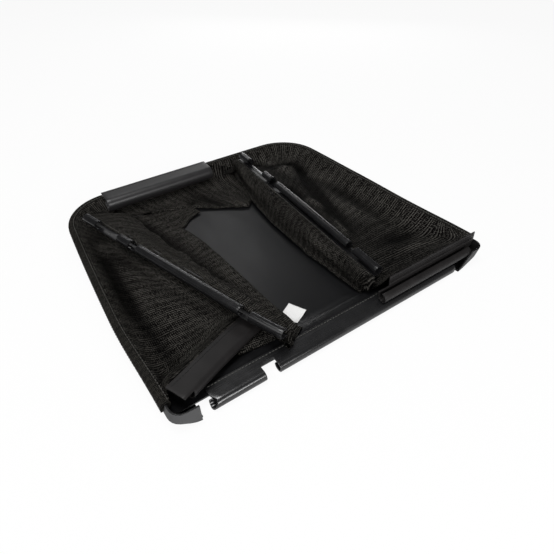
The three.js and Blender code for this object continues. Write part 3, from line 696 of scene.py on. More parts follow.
# %% Front clips
HOOK_START = 14.0
NOTCH_START, NOTCH_END = 61.0, 78.0
front_notch = ((-6.6, CLIP_OUTER), (-1.0, CLIP_OUTER + 1), (NOTCH_START, NOTCH_END))
side_cut = hook_cut(-1, HOOK_START)
strip_end = ((-SIDE_STRIP - 1, -CLIP_OUTER / 2), (-1, CLIP_OUTER), (SIDE_LENGTH, SIDE_LENGTH + 40))
front_section, side_section = hook_section(FRONT_STRIP), hook_section(SIDE_STRIP)
fit_clip(
    "front_clip_extrusion", front_frame, front_section, FRONT_LENGTH,
    [front_notch], front_clip_plastic, "front_clip",
)
fit_clip(
    "left_front_extrusion", left_front_frame, side_section, SIDE_LENGTH,
    [side_cut], matt_clip_plastic, "left_front_clip",
)
fit_clip(
    "right_front_extrusion", right_front_frame, side_section, SIDE_LENGTH + HOOK_REACH,
    [side_cut, strip_end], matt_clip_plastic, "right_front_clip",
)

# %% [markdown]
# The two long clips have the same row of hooks: an end piece, a long one, a short one and an end
# piece, with gaps for the cross wires. Lying on soft folds, a long extrusion bows a little.

# %% Top clips
END_PIECE, CROSS_GAP, LONG_HOOK, SHORT_HOOK, WIDE_GAP = 42.0, 14.0, 169.0, 23.0, 45.0
first_gap = END_PIECE
second_gap = first_gap + CROSS_GAP + LONG_HOOK
third_gap = second_gap + CROSS_GAP + SHORT_HOOK
top_gaps = [
    (first_gap, first_gap + CROSS_GAP),
    (second_gap, second_gap + CROSS_GAP),
    (third_gap, third_gap + WIDE_GAP),
]
LEFT_BOW, LEFT_BOW_REACH, RIGHT_BOW = -2.5, 60.0, 1.0


def left_bow(grain):
    near = np.clip(1 - grain[:, 2] / LEFT_BOW_REACH, 0, 1)
    return np.outer(LEFT_BOW * near**2, left_top_frame.across)


def right_bow(grain):
    middle = np.sin(np.pi * np.clip(grain[:, 2] / TOP_LENGTH, 0, 1))
    return np.outer(RIGHT_BOW * middle, right_top_frame.across)


top_section = hook_section(TOP_STRIP)
rear_section = hook_section(REAR_STRIP, REAR_WALL, REAR_BORE, REAR_MOUTH)
left_cuts = [hook_cut(a, b) for a, b in top_gaps]
right_cuts = [hook_cut(TOP_LENGTH - b, TOP_LENGTH - a) for a, b in top_gaps]
fit_clip(
    "left_top_extrusion", left_top_frame, top_section, TOP_LENGTH,
    left_cuts, clip_plastic, "left_top_clip", left_bow,
)
fit_clip(
    "right_top_extrusion", right_top_frame, top_section, TOP_LENGTH,
    right_cuts, clip_plastic, "right_top_clip", right_bow,
)
fit_clip(
    "rear_extrusion", rear_frame, rear_section, REAR_LENGTH,
    [], rear_clip_plastic, "rear_top_clip",
)

# %% [markdown]
# A folded wall is a stack of cross-sections. Each one starts at the binding, sags over the
# floor, turns at a crease and comes back to its clip. A smooth curve runs through a few named
# places, and the curves side by side make a grid of cloth.

# %% Curves through places
def curve_through(places, steps):
    """A centripetal Catmull-Rom curve, sampled in even steps of its parameter."""
    p = [np.array(q, dtype=float) for q in places]
    p = [2 * p[0] - p[1]] + p + [2 * p[-1] - p[-2]]
    spans = len(p) - 3
    out = []
    for i in range(steps + 1):
        t = spans * i / steps
        k = min(int(t), spans - 1)
        w = t - k
        a, b, c, d = p[k : k + 4]
        d0, d1, d2 = (max(np.linalg.norm(v - u) ** 0.5, 1e-3) for u, v in ((a, b), (b, c), (c, d)))
        m1 = (b - a) / d0 - (c - a) / (d0 + d1) + (c - b) / d1
        m2 = (c - b) / d1 - (d - b) / (d1 + d2) + (d - c) / d2
        m1, m2 = m1 * d1, m2 * d1
        out.append(
            b + m1 * w + (3 * (c - b) - 2 * m1 - m2) * w**2 + (2 * (b - c) + m1 + m2) * w**3
        )
    return out


def crease_line(places, height):
    """A smooth line: each place is a share across, a share back and its part of the height."""
    points = [place(across, back, height * part) for across, back, part in places]
    return np.array(curve_through(points, LINE_STEPS))


def along_curve(line, share):
    exact = share * LINE_STEPS
    low = min(int(exact), LINE_STEPS - 1)
    return mix(line[low], line[low + 1], exact - low)


LINE_STEPS = 200
CREASE = 2.2
FOLD_HEIGHT = 8.0
PLEAT_HEIGHT = 14.0
VALLEY_INSET = 22.0
VALLEY_HEIGHT = 9.5
CLOTH_SAG = 9.0
EDGE_INSET = 4.3
EDGE_Z = 25.6
UNDER_STRIP = 0.9
OVER_STRIP = CLIP_WALL + 0.6
RIPPLE = 1.4


def sewn_on_strip(clip_frame, along):
    """The cloth laps over a long clip's strip and ends beside the mouth of its hook."""
    return [
        clip_frame.at(-TOP_STRIP - 1.5, 0.2, along),
        clip_frame.at(-0.8 * TOP_STRIP, OVER_STRIP, along),
        clip_frame.at(-0.46 * TOP_STRIP, OVER_STRIP, along),
    ]


def folded(crease, outward):
    inner = crease + outward * 1.4 * CREASE
    return [inner - Z * CREASE, crease, inner + Z * CREASE]


def flat_way(start, end):
    return unit((end - start) * (1, 1, 0))


def with_z(point, z):
    return np.array([point[0], point[1], z])


# %% [markdown]
# The cloth lies on whatever is under it: the floor, the ramp, and the strip of the front clip.
# A grid point that would sink into them is lifted on top.

# %% What the cloth rests on
TRAY_WALL = 2.0
LEDGE_TOP = FRONT_CLIP_TOP - CLIP_WALL - 0.3
RAMP_START, RAMP_RUN = 52.0, 26.0


def floor_top(y):
    up_ramp = smoothstep((FRONT_Y + RAMP_START - y) / RAMP_RUN, 0.0, 1.0)
    return mix(TRAY_WALL, LEDGE_TOP, up_ramp)


def support_top(y):
    strip_edge = FRONT_Y + CLIP_OUTER / 2 + FRONT_STRIP
    on_strip = smoothstep((strip_edge - y) / CLIP_OUTER + 0.55, 0.0, 0.35)
    return mix(floor_top(y), FRONT_CLIP_TOP, on_strip)


# %% [markdown]
# Creases and pulls in the cloth are sculpted from the photograph: each is a short line
# across the grid with a depth and a width. Between them, slow noise keeps the cloth alive.

# %% Turn sections into cloth
CLOTH_THICK = 0.9
CLOTH_CLEAR = 0.3 + 1.02
PULL_DEPTH = 0.4
WANDER_HEIGHT, WANDER_SCALE = 1.5, 0.022
# Width of the painted shadow line, and the sink and lift at which painted shade and painted light
# are full.
PAINTED_SHADOW_WIDTH = 0.012
PAINTED_SHADE_DEPTH, PAINTED_LIGHT_HEIGHT = 4.5, 8.0


def pulled(grid, pulls):
    """Raises or sinks the grid along lines: start, end, height, half width and columns."""
    flat = grid.reshape(-1, 3)
    rise = np.zeros(len(flat))
    for start, end, height, width, (first, last) in pulls:
        a, b = np.array(start, float), np.array(end, float)
        run = b - a
        t = np.clip(((flat[:, :2] - a) @ run) / (run @ run), 0, 1)
        away = np.linalg.norm(flat[:, :2] - (a + t[:, None] * run), axis=1)
        fade = np.sin(np.pi * np.clip(t, 0.04, 0.96)) ** 0.5
        layer = np.zeros(grid.shape[:2])
        columns = np.linspace(0, 1, grid.shape[1])
        layer[:, (columns >= first) & (columns <= last)] = 1
        rise += height * np.exp(-((away / width) ** 2)) * fade * layer.ravel()
    return rise.reshape(grid.shape[:2])


def normals_of(grid):
    along = np.gradient(grid, axis=0)
    over = np.gradient(grid, axis=1)
    normal = np.cross(along, over)
    return normal / np.maximum(np.linalg.norm(normal, axis=2, keepdims=True), 1e-9)


def paint_fold_light_and_shade(rise, columns, dark_line=None, dim=0.0):
    """Painted shade where the cloth sinks, beside the clip and along a shadow line; painted light
    where it lifts.
    """
    # Painted shade on the cloth next to the clip.
    shade_by_clip = smoothstep(columns, 0.06, 0.2) * (1 - 0.4 * smoothstep(columns, 0.3, 0.45))
    painted_shade_mask = np.clip(-rise / PAINTED_SHADE_DEPTH + dim * shade_by_clip[None, :], 0, 1)
    # A painted shadow line along the pleat's edge.
    if dark_line is not None:
        line = np.exp(-(((columns - dark_line) / PAINTED_SHADOW_WIDTH) ** 2))
        painted_shade_mask = np.maximum(painted_shade_mask, line[None, :])
    painted_light_mask = np.clip(rise / PAINTED_LIGHT_HEIGHT, 0, 1)
    return np.stack([painted_shade_mask, painted_light_mask, 0 * rise], axis=2).reshape(-1, 3)


def sheet_area(grid):
    along, over = np.diff(grid, axis=0), np.diff(grid, axis=1)
    halves = (np.cross(along[:, :-1], over[:-1]), np.cross(along[:, 1:], over[1:]))
    return round(0.5 * sum(np.linalg.norm(half, axis=2).sum() for half in halves))


def thick_sheet(name, grid, cloth, thickness=CLOTH_THICK, painted_light_shade=None):
    """The grid of places as a sheet of cloth, with its own coordinates stored on it."""
    points = give(grid.reshape(-1, 3))
    piece = make_piece(name, points, grid_faces(grid.shape[0] - 1, grid.shape[1] - 1), 180)
    store_vector(piece, "cloth", cloth)
    if painted_light_shade is not None:
        store_vector(piece, "painted_light_shade", painted_light_shade)
    thick = piece.modifiers.new("thick", "SOLIDIFY")
    thick.thickness, thick.offset = thickness * MM, 0.0
    apply_modifiers(piece)
    piece.data.shade_smooth()
    return piece


def cloth_wall(name, replaced, section, rows, steps, pulls, seed, front=None, **shade):
    grid = np.array([curve_through(section(i / rows), steps) for i in range(rows + 1)])
    if front is not None:
        grid = np.concatenate([front(grid[0]), grid])
        rows = len(grid) - 1
    columns = np.linspace(0, 1, steps + 1)
    rise = pulled(grid, pulls)
    painted_light_shade = paint_fold_light_and_shade(rise, columns, **shade)
    # The painted shade and light follow the full pulls; the cloth itself moves by only part of
    # them.
    rise = PULL_DEPTH * rise
    for i in range(rows + 1):
        for j in range(steps + 1):
            p = Vector(grid[i, j] * WANDER_SCALE) + Vector((seed, columns[j] * 2.0, 0.0))
            rise[i, j] += WANDER_HEIGHT * noise.fractal(p, 1.0, 2.0, 3)
    pinned = smoothstep(np.minimum(columns, 1 - columns), 0.0, 0.08)[None, :]
    normal = normals_of(grid)
    flip = np.where(normal[..., 2:3] < 0, -1.0, 1.0)
    grid = grid + normal * flip * (rise * pinned)[..., None]
    grid[..., 2] = np.maximum(grid[..., 2], support_top(grid[..., 1]) + CLOTH_CLEAR)
    length = np.linalg.norm(np.diff(grid, axis=1), axis=2)
    step = np.linalg.norm(np.diff(grid, axis=0), axis=2)
    over = running_total(length, 1)
    along = running_total(step, 0).mean(axis=1, keepdims=True) + 0 * over
    cloth = np.stack([along, over, 0 * over], axis=2).reshape(-1, 3)
    print(name, "along", round(step.sum(0).max()), "over", round(length.sum(1).max()))
    print(name, "area", sheet_area(grid))
    piece = thick_sheet(name, grid, cloth, painted_light_shade=painted_light_shade)
    finish_piece(piece, mesh_cloth, "mesh_fabric", replaced)
    return piece


# %% [markdown]
# The left wall folds twice: a wide band lies on the floor, and a pleat on top of it climbs to
# the clip. Its front edge runs behind the left front clip, so sections near the front are
# pushed back until they clear it.

# %% Left wall
LEFT_CREASE = [
    (-0.217, 0.082, 1.0),
    (-0.24, 0.22, 1.0),
    (-0.259, 0.39, 1.0),
    (-0.277, 0.53, 1.0),
    (-0.325, 0.69, 1.1),
    (-0.48, 0.82, 2.0),
]
LEFT_PLEAT = [
    (-0.32, 0.047, 1.0),
    (-0.31, 0.25, 1.0),
    (-0.402, 0.39, 1.0),
    (-0.47, 0.51, 1.0),
    (-0.525, 0.667, 1.1),
    (-0.566, 0.835, 1.4),
]
left_crease = crease_line(LEFT_CREASE, FOLD_HEIGHT)
left_pleat = crease_line(LEFT_PLEAT, PLEAT_HEIGHT)
WALL_START = BINDING_STOP + 3.3
PLEAT_TUCK = 9.0
# Where the painted shadow under the pleat's edge lies, as a share across the grid.
PLEAT_SHADOW_LINE = 0.542


def behind_left_clip(point):
    base = left_front_frame.at(-SIDE_STRIP - 1.5, CLIP_WALL / 2, 0)
    run = left_front_frame.run * (1, 1, 0)
    flat_run = run / np.linalg.norm(run)
    back = np.array([-flat_run[1], flat_run[0], 0.0])
    offset = point - base
    along, depth = offset @ flat_run, offset @ back
    share = along / SIDE_LENGTH
    reach = 1.3 * CLIP_OUTER * (1 - smoothstep(share, 1.03, 1.2))
    pushed = (depth + math.sqrt(depth * depth + 4 * reach * reach)) / 2
    rise = 1 - smoothstep(pushed / CLIP_OUTER, 0.0, 1.6) if reach > 0 else 0.0
    strip_z = base[2] + left_front_frame.run[2] / np.linalg.norm(run) * along
    z = mix(point[2], max(strip_z - CLIP_WALL, point[2]), rise)
    return with_z(point + back * (pushed - depth), z)


def left_section(s):
    distance = mix(WALL_START, side_length + corner_length + 0.03 * rear_length, s)
    front = 1 - smoothstep(s, 0.0, 0.14)
    edge = inside_rim(distance, EDGE_INSET, EDGE_Z)
    valley_z = VALLEY_HEIGHT * mix(0.85, 1.15, smoothstep(s, 0.6, 1.0))
    valley = inside_rim(distance, VALLEY_INSET, valley_z)
    along = 1.02 * TOP_LENGTH * s
    beneath = left_top_frame.at(0, -CLOTH_SAG, along)
    beneath[2] = mix(beneath[2], 0.75 * FOLD_HEIGHT, front)
    slope = mix(valley, beneath, 0.55)
    slope[2] = mix(1.9 * VALLEY_HEIGHT + RIPPLE * math.sin(23 * s), 0.7 * FOLD_HEIGHT, front)
    crease = along_curve(left_crease, s)
    beyond = with_z(mix(beneath, crease, 0.5), mix(1.5 * crease[2], 0.6 * FOLD_HEIGHT, front))
    outward = flat_way(crease, beneath)
    fold_places = folded(crease, outward)
    pleat = along_curve(left_pleat, s)
    tucked = with_z(pleat + outward * PLEAT_TUCK, fold_places[2][2] + 1.0)
    pleat_edge = with_z(pleat, pleat[2] + 1.5)
    pleat_top = with_z(pleat + outward * 0.5 * PLEAT_TUCK, pleat[2] + 4.5)
    sewn = sewn_on_strip(left_top_frame, along)
    band = mix(pleat, sewn[0], 0.6)
    band[2] = mix(pleat[2], sewn[0][2], 0.85)
    around_end = left_front_frame.at(-CLIP_OUTER / 3, CLIP_OUTER / 2, 1.04 * SIDE_LENGTH)
    turned = mix(behind_left_clip(beyond), around_end, 1 - smoothstep(s, 0.08, 0.2))
    under = [behind_left_clip(p) for p in (valley, slope, beneath)]
    return [edge, *under, turned, *fold_places, tucked, pleat_edge, pleat_top, band, *sewn]


HEM_ROWS = 12


def hem_under_strip(first_row):
    """Rows that lead the wall's front edge to its clip, and turn in the free rest of it."""
    base = left_front_frame.at(0, 0, 0)
    rows = []
    share = np.linspace(0, 1, len(first_row))
    free = smoothstep(share, 0.36, 0.44)
    for t in np.linspace(1, 0, HEM_ROWS, endpoint=False):
        row = []
        for point, loose in zip(first_row, free):
            along = np.clip((point - base) @ left_front_frame.run, 3.0, SIDE_LENGTH + 8)
            behind = left_front_frame.at(-SIDE_STRIP - 3.0, CLIP_WALL + 0.8, along)
            sewn = left_front_frame.at(-SIDE_STRIP + 5.0, CLIP_WALL + 0.7, along)
            clipped = (1 - t) ** 2 * point + 2 * t * (1 - t) * behind + t * t * sewn
            turned_in = point + np.array([0.0, -2.0 * t, -0.6 * t])
            row.append(mix(clipped, turned_in, loose))
        rows.append(row)
    return np.array(rows)


LEFT_PULLS = [
    ((-190, 110), (-160, 66), 4.0, 10, (0.05, 0.4)),
    ((-184, 120), (-190, -40), -5.5, 9, (0.03, 0.4)),
    ((-192, 10), (-184, -160), -4.0, 9, (0.03, 0.4)),
    ((-180, 92), (-150, -20), -3.0, 6, (0.05, 0.42)),
    ((-150, -20), (-122, -112), -2.0, 7, (0.05, 0.42)),
    ((-150, 30), (-118, -70), 3.0, 12, (0.05, 0.4)),
    ((-190, -60), (-140, -130), -1.0, 14, (0.03, 0.4)),
    ((-130, -60), (-108, -120), -0.8, 9, (0.1, 0.4)),
    ((-104, 80), (-70, -40), -1.4, 5, (0.7, 0.95)),
    ((-84, 70), (-62, -20), 1.0, 6, (0.6, 0.8)),
]
left_wall = cloth_wall(
    "left_mesh_cloth",
    "left_wall_mesh",
    left_section,
    110,
    200,
    LEFT_PULLS,
    1.0,
    front=hem_under_strip,
    # A painted shadow line where the pleat overhangs the band below.
    dark_line=PLEAT_SHADOW_LINE,
)

# %% [markdown]
# The right wall folds once. Behind its clip the cloth lies in a broad slope with soft pulls that
# fan out from the rear corner, and at the front it hangs from the standing clip.

# %% Right wall
RIGHT_CREASE = [
    (0.207, 0.108, 1.0),
    (0.19, 0.23, 1.0),
    (0.178, 0.4, 1.0),
    (0.187, 0.57, 1.0),
    (0.225, 0.74, 1.1),
    (0.295, 0.92, 1.5),
]
right_crease = crease_line(RIGHT_CREASE, FOLD_HEIGHT)
END_ROWS, END_REACH = 8, 5.0


def behind_right_clip(share):
    return right_front_frame.at(-0.85 * SIDE_STRIP, -1.5, share * SIDE_LENGTH)


def right_section(s):
    end = side_length + corner_length + 0.38 * rear_length
    distance = rim_length - mix(WALL_START, end, s)
    front = 1 - smoothstep(s, 0.0, 0.12)
    edge = inside_rim(distance, EDGE_INSET, EDGE_Z)
    valley = inside_rim(distance, VALLEY_INSET, VALLEY_HEIGHT)
    along = TOP_LENGTH * (1 - s)
    beneath = right_top_frame.at(0, -CLOTH_SAG, along)
    slope = with_z(mix(valley, beneath, 0.5), 2 * VALLEY_HEIGHT + RIPPLE * math.sin(19 * s))
    valley = mix(valley, behind_right_clip(0.07), front)
    slope = mix(slope, behind_right_clip(0.5), front)
    beneath = mix(beneath, behind_right_clip(0.97), front)
    crease = along_curve(right_crease, s)
    beyond = with_z(mix(beneath, crease, 0.5), 1.5 * crease[2])
    fold_places = folded(crease, flat_way(crease, beneath))
    sewn = sewn_on_strip(right_top_frame, along)
    band = mix(crease, sewn[0], 0.45)
    band[2] = mix(crease[2], sewn[0][2], 0.62)
    return [edge, valley, slope, beneath, beyond, *fold_places, band, *sewn]


def closed_end(first_row):
    """Rows that turn the open near end of the fold in, so that its two layers meet."""
    share = np.linspace(0, 1, len(first_row))
    free = smoothstep(share, 0.4, 0.5)
    order = np.argsort(first_row[:, 0])
    x, z = first_row[order, 0], first_row[order, 2]
    smooth_z = np.convolve(np.pad(z, 9, mode="edge"), np.ones(19) / 19, mode="valid")
    middle = np.minimum(np.interp(first_row[:, 0], x, smooth_z), first_row[:, 2] + 2.0)
    rows = []
    for t in np.linspace(1, 0, END_ROWS, endpoint=False):
        row = first_row.copy()
        row[:, 1] -= free * END_REACH * math.sin(0.5 * math.pi * t)
        row[:, 2] = mix(row[:, 2], middle, free * (1 - math.cos(0.5 * math.pi * t)))
        rows.append(row)
    return np.array(rows)


FACE = (0.04, 0.5)
BAND = (0.72, 0.98)
RIGHT_PULLS = [
    ((172, 134), (139, 56), -10.0, 8, FACE),
    ((146, 74), (120, -6), -12.0, 9, FACE),
    ((126, 14), (104, -76), -10.0, 8, FACE),
    ((100, 60), (96, 20), -9.0, 7, FACE),
    ((104, 22), (114, -12), 9.0, 6, FACE),
    ((112, -30), (98, -78), 8.0, 6, FACE),
    ((128, 190), (132, 140), 6.0, 5, FACE),
    ((112, 176), (118, 128), -8.0, 6, FACE),
    ((96, 150), (150, 163), 5.0, 5, FACE),
    ((108, 138), (172, 143), -6.5, 6, FACE),
    ((120, 118), (150, 122), 5.0, 5, FACE),
    ((150, 150), (128, 96), 6.0, 5, FACE),
    ((150, 108), (190, 60), 3.5, 14, FACE),
    ((140, 20), (150, -60), 4.0, 13, FACE),
    ((172, 60), (176, -60), -2.5, 12, FACE),
    ((120, -120), (185, -118), -3.0, 12, FACE),
    ((130, -150), (190, -146), 2.5, 10, FACE),
    ((66, 150), (44, 60), 1.6, 5, BAND),
    ((44, 40), (42, -30), -1.6, 4, BAND),
    ((50, -50), (44, -120), 2.0, 4, BAND),
]
right_wall = cloth_wall(
    "right_mesh_cloth",
    "right_wall_mesh",
    right_section,
    110,
    150,
    RIGHT_PULLS,
    5.0,
    front=closed_end,
    # Painted shade laid on the slope beside the clip.
    dim=0.6,
)

# %% [markdown]
# The rear wall folds forward, and its free part lies on the floor as a loose flap.

# %% Rear wall
REAR_FOLD = TRAY_WALL + 0.3 + 0.6 + CREASE
REAR_SIDE = 0.28
REAR_CREASE = [(-0.42, 0.865, 1.0), (-0.22, 0.832, 1.0), (-0.03, 0.766, 1.0), (0.17, 0.7, 1.0)]
rear_crease = crease_line(REAR_CREASE, REAR_FOLD)


def rear_section_of_cloth(share):
    """Sections along the clip, and beyond its right end down to the right wall's fold."""
    s = min(share * (1 + REAR_SIDE), 1.0)
    beyond = max(share * (1 + REAR_SIDE) - 1, 0.0) / REAR_SIDE
    distance = side_length + corner_length + rear_length * (mix(0.045, 0.6, s) + 0.16 * beyond)
    edge = inside_rim(distance, EDGE_INSET, EDGE_Z)
    valley = inside_rim(distance, 0.73 * VALLEY_INSET, VALLEY_HEIGHT)
    crease = along_curve(rear_crease, s) + beyond * np.array([12.0, 12.0, 1.0])
    floor = with_z(mix(valley, crease, 0.5), REAR_FOLD - CREASE)
    fold_places = folded(crease, Y)
    x = rear_left + REAR_LENGTH * mix(0.06, 0.98, s)
    hook_bottom = REAR_TOP - rear_outer
    under_hook = np.array([x, rear_back - 1.5 * rear_outer, FOLD_HEIGHT])
    foot_place = with_z(mix(crease, under_hook, 0.6), FOLD_HEIGHT)
    below = np.array([x, rear_back - 1.1 * rear_outer, 0.75 * hook_bottom])
    behind = np.array([x, rear_back - 0.22 * rear_outer, 1.2 * hook_bottom])
    top = np.array([x, rear_back - 0.15 * rear_outer, REAR_TOP - REAR_WALL - UNDER_STRIP])
    side = np.array([54.0, 0.0, -22.0]) * smoothstep(beyond, 0.0, 1.0)
    upper = [below + 0.8 * side * (1, 1, 0.3), behind + side * (1, 1, 0.8), top + side]
    return [edge, valley, floor, *fold_places, foot_place + 0.6 * side * (1, 1, 0), *upper]


REAR_PULLS = [
    ((-60, 150), (-20, 100), 3.0, 8, (0.5, 0.85)),
    ((-20, 150), (10, 85), -3.5, 7, (0.5, 0.85)),
    ((-110, 132), (-50, 118), -4.0, 7, (0.5, 0.85)),
    ((-50, 118), (-24, 132), -4.0, 6, (0.5, 0.85)),
    ((18, 110), (30, 78), 3.5, 5, (0.5, 0.85)),
]
# The rear wall gets painted shade beside its clip, weaker than the right wall's.
rear_wall = cloth_wall(
    "rear_mesh_cloth", "rear_wall_mesh", rear_section_of_cloth, 76, 130, REAR_PULLS, 9.0, dim=0.3
)

# %% [markdown]
# Two loose parts of the cloth show on the floor: the front turning of the left wall, which
# comes out from under its clip, and a small pointed tail where the rear wall meets the left one.
# Each is a patch between two edges.

# %% Loose parts
PATCH_ROWS, PATCH_SWELL = 14, 1.2
PATCH_WANDER, PATCH_SCALE = 0.9, 0.05
ROLL_DEPTH = 1.6


def cloth_patch(name, near_edge, far_edge, steps, seed):
    """A patch whose near edge is rolled: both edges are lists of places."""
    near = np.array(curve_through(near_edge, steps))
    far = np.array(curve_through(far_edge, steps))
    rows = [near - ROLL_DEPTH * Z, near + (near - far) * 0.02 - ROLL_DEPTH / 2 * Z, near]
    for t in np.linspace(0.06, 1, PATCH_ROWS):
        rows.append(mix(near, far, t) + Z * PATCH_SWELL * math.sin(math.pi * t))
    grid = np.array(rows)
    for row in grid[3:]:
        for point in row:
            wander = noise.noise(Vector(point * PATCH_SCALE) + Vector((seed, 0, 0)))
            point[2] += PATCH_WANDER * wander
    grid[..., 2] = np.maximum(grid[..., 2], floor_top(grid[..., 1]) + 0.8)
    across_mm = np.linalg.norm(near[-1] - near[0]) * np.linspace(0, 1, steps + 1)
    deep_mm = np.linalg.norm(far[0] - near[0]) * np.linspace(0, 1, len(rows))
    cloth = [(d, a, 0.0) for d in deep_mm for a in across_mm]
    piece = thick_sheet(name, grid, cloth)
    finish_piece(piece, mesh_cloth, "mesh_fabric")
    print(name, "along", round(across_mm[-1]), "area", sheet_area(grid))
    return piece


front_turning = cloth_patch(
    "left_front_turning",
    [(-124, -160, 11), (-96, -162, 9), (-70, -165, 8), (-46, -167.5, 8)],
    [(-112, -132, 8), (-92, -136, 7), (-74, -142, 6), (-60, -148, 6)],
    60,
    3.0,
)
rear_tail = cloth_patch(
    "rear_corner_tail",
    [(-80, 88, 4.5), (-66, 87, 4.5), (-52, 98, 5), (-30, 106, 6)],
    [(-110, 143, 3.4), (-88, 146, 3.4), (-62, 142, 3.4), (-38, 132, 3.8)],
    40,
    7.0,
)

# %% [markdown]
# The care label is a small piece of white woven tape, left bare. It follows the floor and curls
# up a little at its free corners.

# %% Care label
LABEL_SIDE = (24.0, 23.0)
LABEL_TURN = math.radians(27)
LABEL_THICK, LABEL_LIFT = 0.4, 0.7
LONG_CURL, CROSS_CURL = 1.6, 0.8


def care_label(steps=20):
    middle = place(-0.174, 0.153, 0.0)
    grid, cloth = np.zeros((steps + 1, steps + 1, 3)), []
    for i in range(steps + 1):
        for j in range(steps + 1):
            u, v = LABEL_SIDE[0] * (i / steps - 0.5), LABEL_SIDE[1] * (j / steps - 0.5)
            x = middle[0] + u * math.cos(LABEL_TURN) - v * math.sin(LABEL_TURN)
            y = middle[1] + u * math.sin(LABEL_TURN) + v * math.cos(LABEL_TURN)
            curl = LONG_CURL * max(0.0, i / steps - 0.45) ** 2
            curl += CROSS_CURL * (j / steps - 0.5) ** 2
            grid[i, j] = x, y, floor_top(y) + LABEL_LIFT + curl
            cloth.append((u, v, 0.0))
    return thick_sheet("bare_label", grid, cloth, LABEL_THICK)


label = care_label()
finish_piece(label, label_cloth, "label_fabric", "care_label")

# %% [markdown]
# The walls are lock-stitched: short threads lie in a row along every clip, on the binding and
# on the ledge. Each thread is a small bent rod whose ends dip into the cloth.

# %% Sewing thread
def thread_material(name, dark, light):
    material, tree, shader = new_material(name, 0.6, 0.3)
    twist = node(
        tree, "ShaderNodeTexWave", Vector=stored(tree, "cloth"), Scale=0.45, Distortion=0.2
    )
    colour = ramp(tree, twist.outputs["Fac"], 0.1, 0.9, dark, light)
    set_up(tree, shader, Base_Color=colour)
    return material


sewing_thread = thread_material("sewing_thread", (0.02, 0.02, 0.019), (0.1, 0.098, 0.09))
dark_thread = thread_material("dark_thread", (0.0015, 0.0015, 0.0015), (0.004, 0.004, 0.004))
THREAD_LENGTH = 3.0
THREAD_GAP = 1.1
THREAD_RADIUS = 0.45
THREAD_RINGS, THREAD_SIDES = 6, 6


def seam(name, path, ups, thread=sewing_thread):
    """Stitches along a path of places, each standing out along its own up direction."""
    path, ups = np.array(path, float), np.array(ups, float)
    walked = running_total(np.linalg.norm(np.diff(path, axis=0), axis=1), 0)

    def at(distance, lines):
        return np.array([np.interp(distance, walked, lines[:, k]) for k in range(3)])

    points, faces, cloth = [], [], []
    start, last = THREAD_GAP, THREAD_RINGS - 1
    while start + THREAD_LENGTH < walked[-1]:
        faces += tube_faces(THREAD_RINGS, THREAD_SIDES, len(points))
        for k in range(THREAD_RINGS):
            distance = start + THREAD_LENGTH * k / last
            centre, up = at(distance, path), unit(at(distance, ups))
            ahead = at(min(distance + 0.5, walked[-1]), path) - at(max(distance - 0.5, 0), path)
            side = np.cross(unit(ahead), up)
            lift = THREAD_RADIUS * (1.1 * math.sin(math.pi * k / last) - 0.7)
            for j in range(THREAD_SIDES):
                angle = 2 * math.pi * j / THREAD_SIDES
                out = side * math.cos(angle) + up * math.sin(angle)
                points.append(centre + up * lift + out * THREAD_RADIUS)
                cloth.append((distance, j, 0.0))
        start += THREAD_LENGTH + THREAD_GAP
    piece = make_piece(name, give(points), faces)
    store_vector(piece, "cloth", cloth)
    finish_piece(piece, thread, "binding_fabric")
    print(name, "stitches:", len(points) // (THREAD_RINGS * THREAD_SIDES))


def clip_seam(name, clip_frame, a, u, length, bow, facing, thread):
    stations = np.linspace(2.0, length - 2.0, 60)
    path = [clip_frame.at(a, u, distance) for distance in stations]
    if bow is not None:
        path = [p + d for p, d in zip(path, bow(np.array([(a, u, d) for d in stations])))]
    seam(name, path, [facing * clip_frame.up] * len(path), thread)


seam_top = OVER_STRIP + 0.45
rear_seam = -REAR_STRIP + 3.5
clip_seams = [
    ("seam_left_top", left_top_frame, -9.5, seam_top, TOP_LENGTH, left_bow, 1, sewing_thread),
    ("seam_right_top", right_top_frame, -9.5, seam_top, TOP_LENGTH, right_bow, 1, sewing_thread),
    ("seam_left_front", left_front_frame, -15.5, 0.0, SIDE_LENGTH, None, -1, dark_thread),
    ("seam_right_front", right_front_frame, -16.5, CLIP_WALL, SIDE_LENGTH, None, 1, dark_thread),
    ("seam_rear", rear_frame, rear_seam, 0.0, REAR_LENGTH, None, -1, dark_thread),
    ("seam_front", front_frame, -15.5, 0.0, FRONT_LENGTH, None, -1, sewing_thread),
]
for row in clip_seams:
    clip_seam(*row)
rim_stations = np.arange(BINDING_STOP + 1, rim_length - BINDING_STOP - 1, 3.0)
seam(
    "seam_binding",
    [inside_rim(d, -BINDING_HALF + 0.1, BINDING_TOP - 7.5) for d in rim_stations],
    [(*rim_at(d)[2:], 0.25) for d in rim_stations],
)
seam(
    "seam_binding_inside",
    [inside_rim(d, 2.6, BINDING_TOP - 0.9) for d in rim_stations],
    [(-rim_at(d)[2], -rim_at(d)[3], 1.6) for d in rim_stations],
)

# %% [markdown]
# The camera stands where the photograph's stood: a little over half a metre away, in front of
# the left front corner and high above it. Its lens is given by the photograph's width in pixels.

# %% Camera
CAMERA_PLACE = (-0.258, -0.4235, 0.385)
CAMERA_PITCH = 42.2
CAMERA_YAW = -34.8
FOCAL_PIXELS = 450.0
PHOTO_PIXELS = 554.0

camera_data = bpy.data.cameras.new("camera")
camera_data.sensor_width = 36.0
camera_data.lens = 36.0 * FOCAL_PIXELS / PHOTO_PIXELS
camera_data.clip_start = 0.01
camera = bpy.data.objects.new("camera", camera_data)
camera.location = CAMERA_PLACE
camera.rotation_euler = (math.radians(90 - CAMERA_PITCH), 0, math.radians(CAMERA_YAW))
bpy.context.scene.collection.objects.link(camera)
bpy.context.scene.camera = camera
print("camera stands at, m:", CAMERA_PLACE)

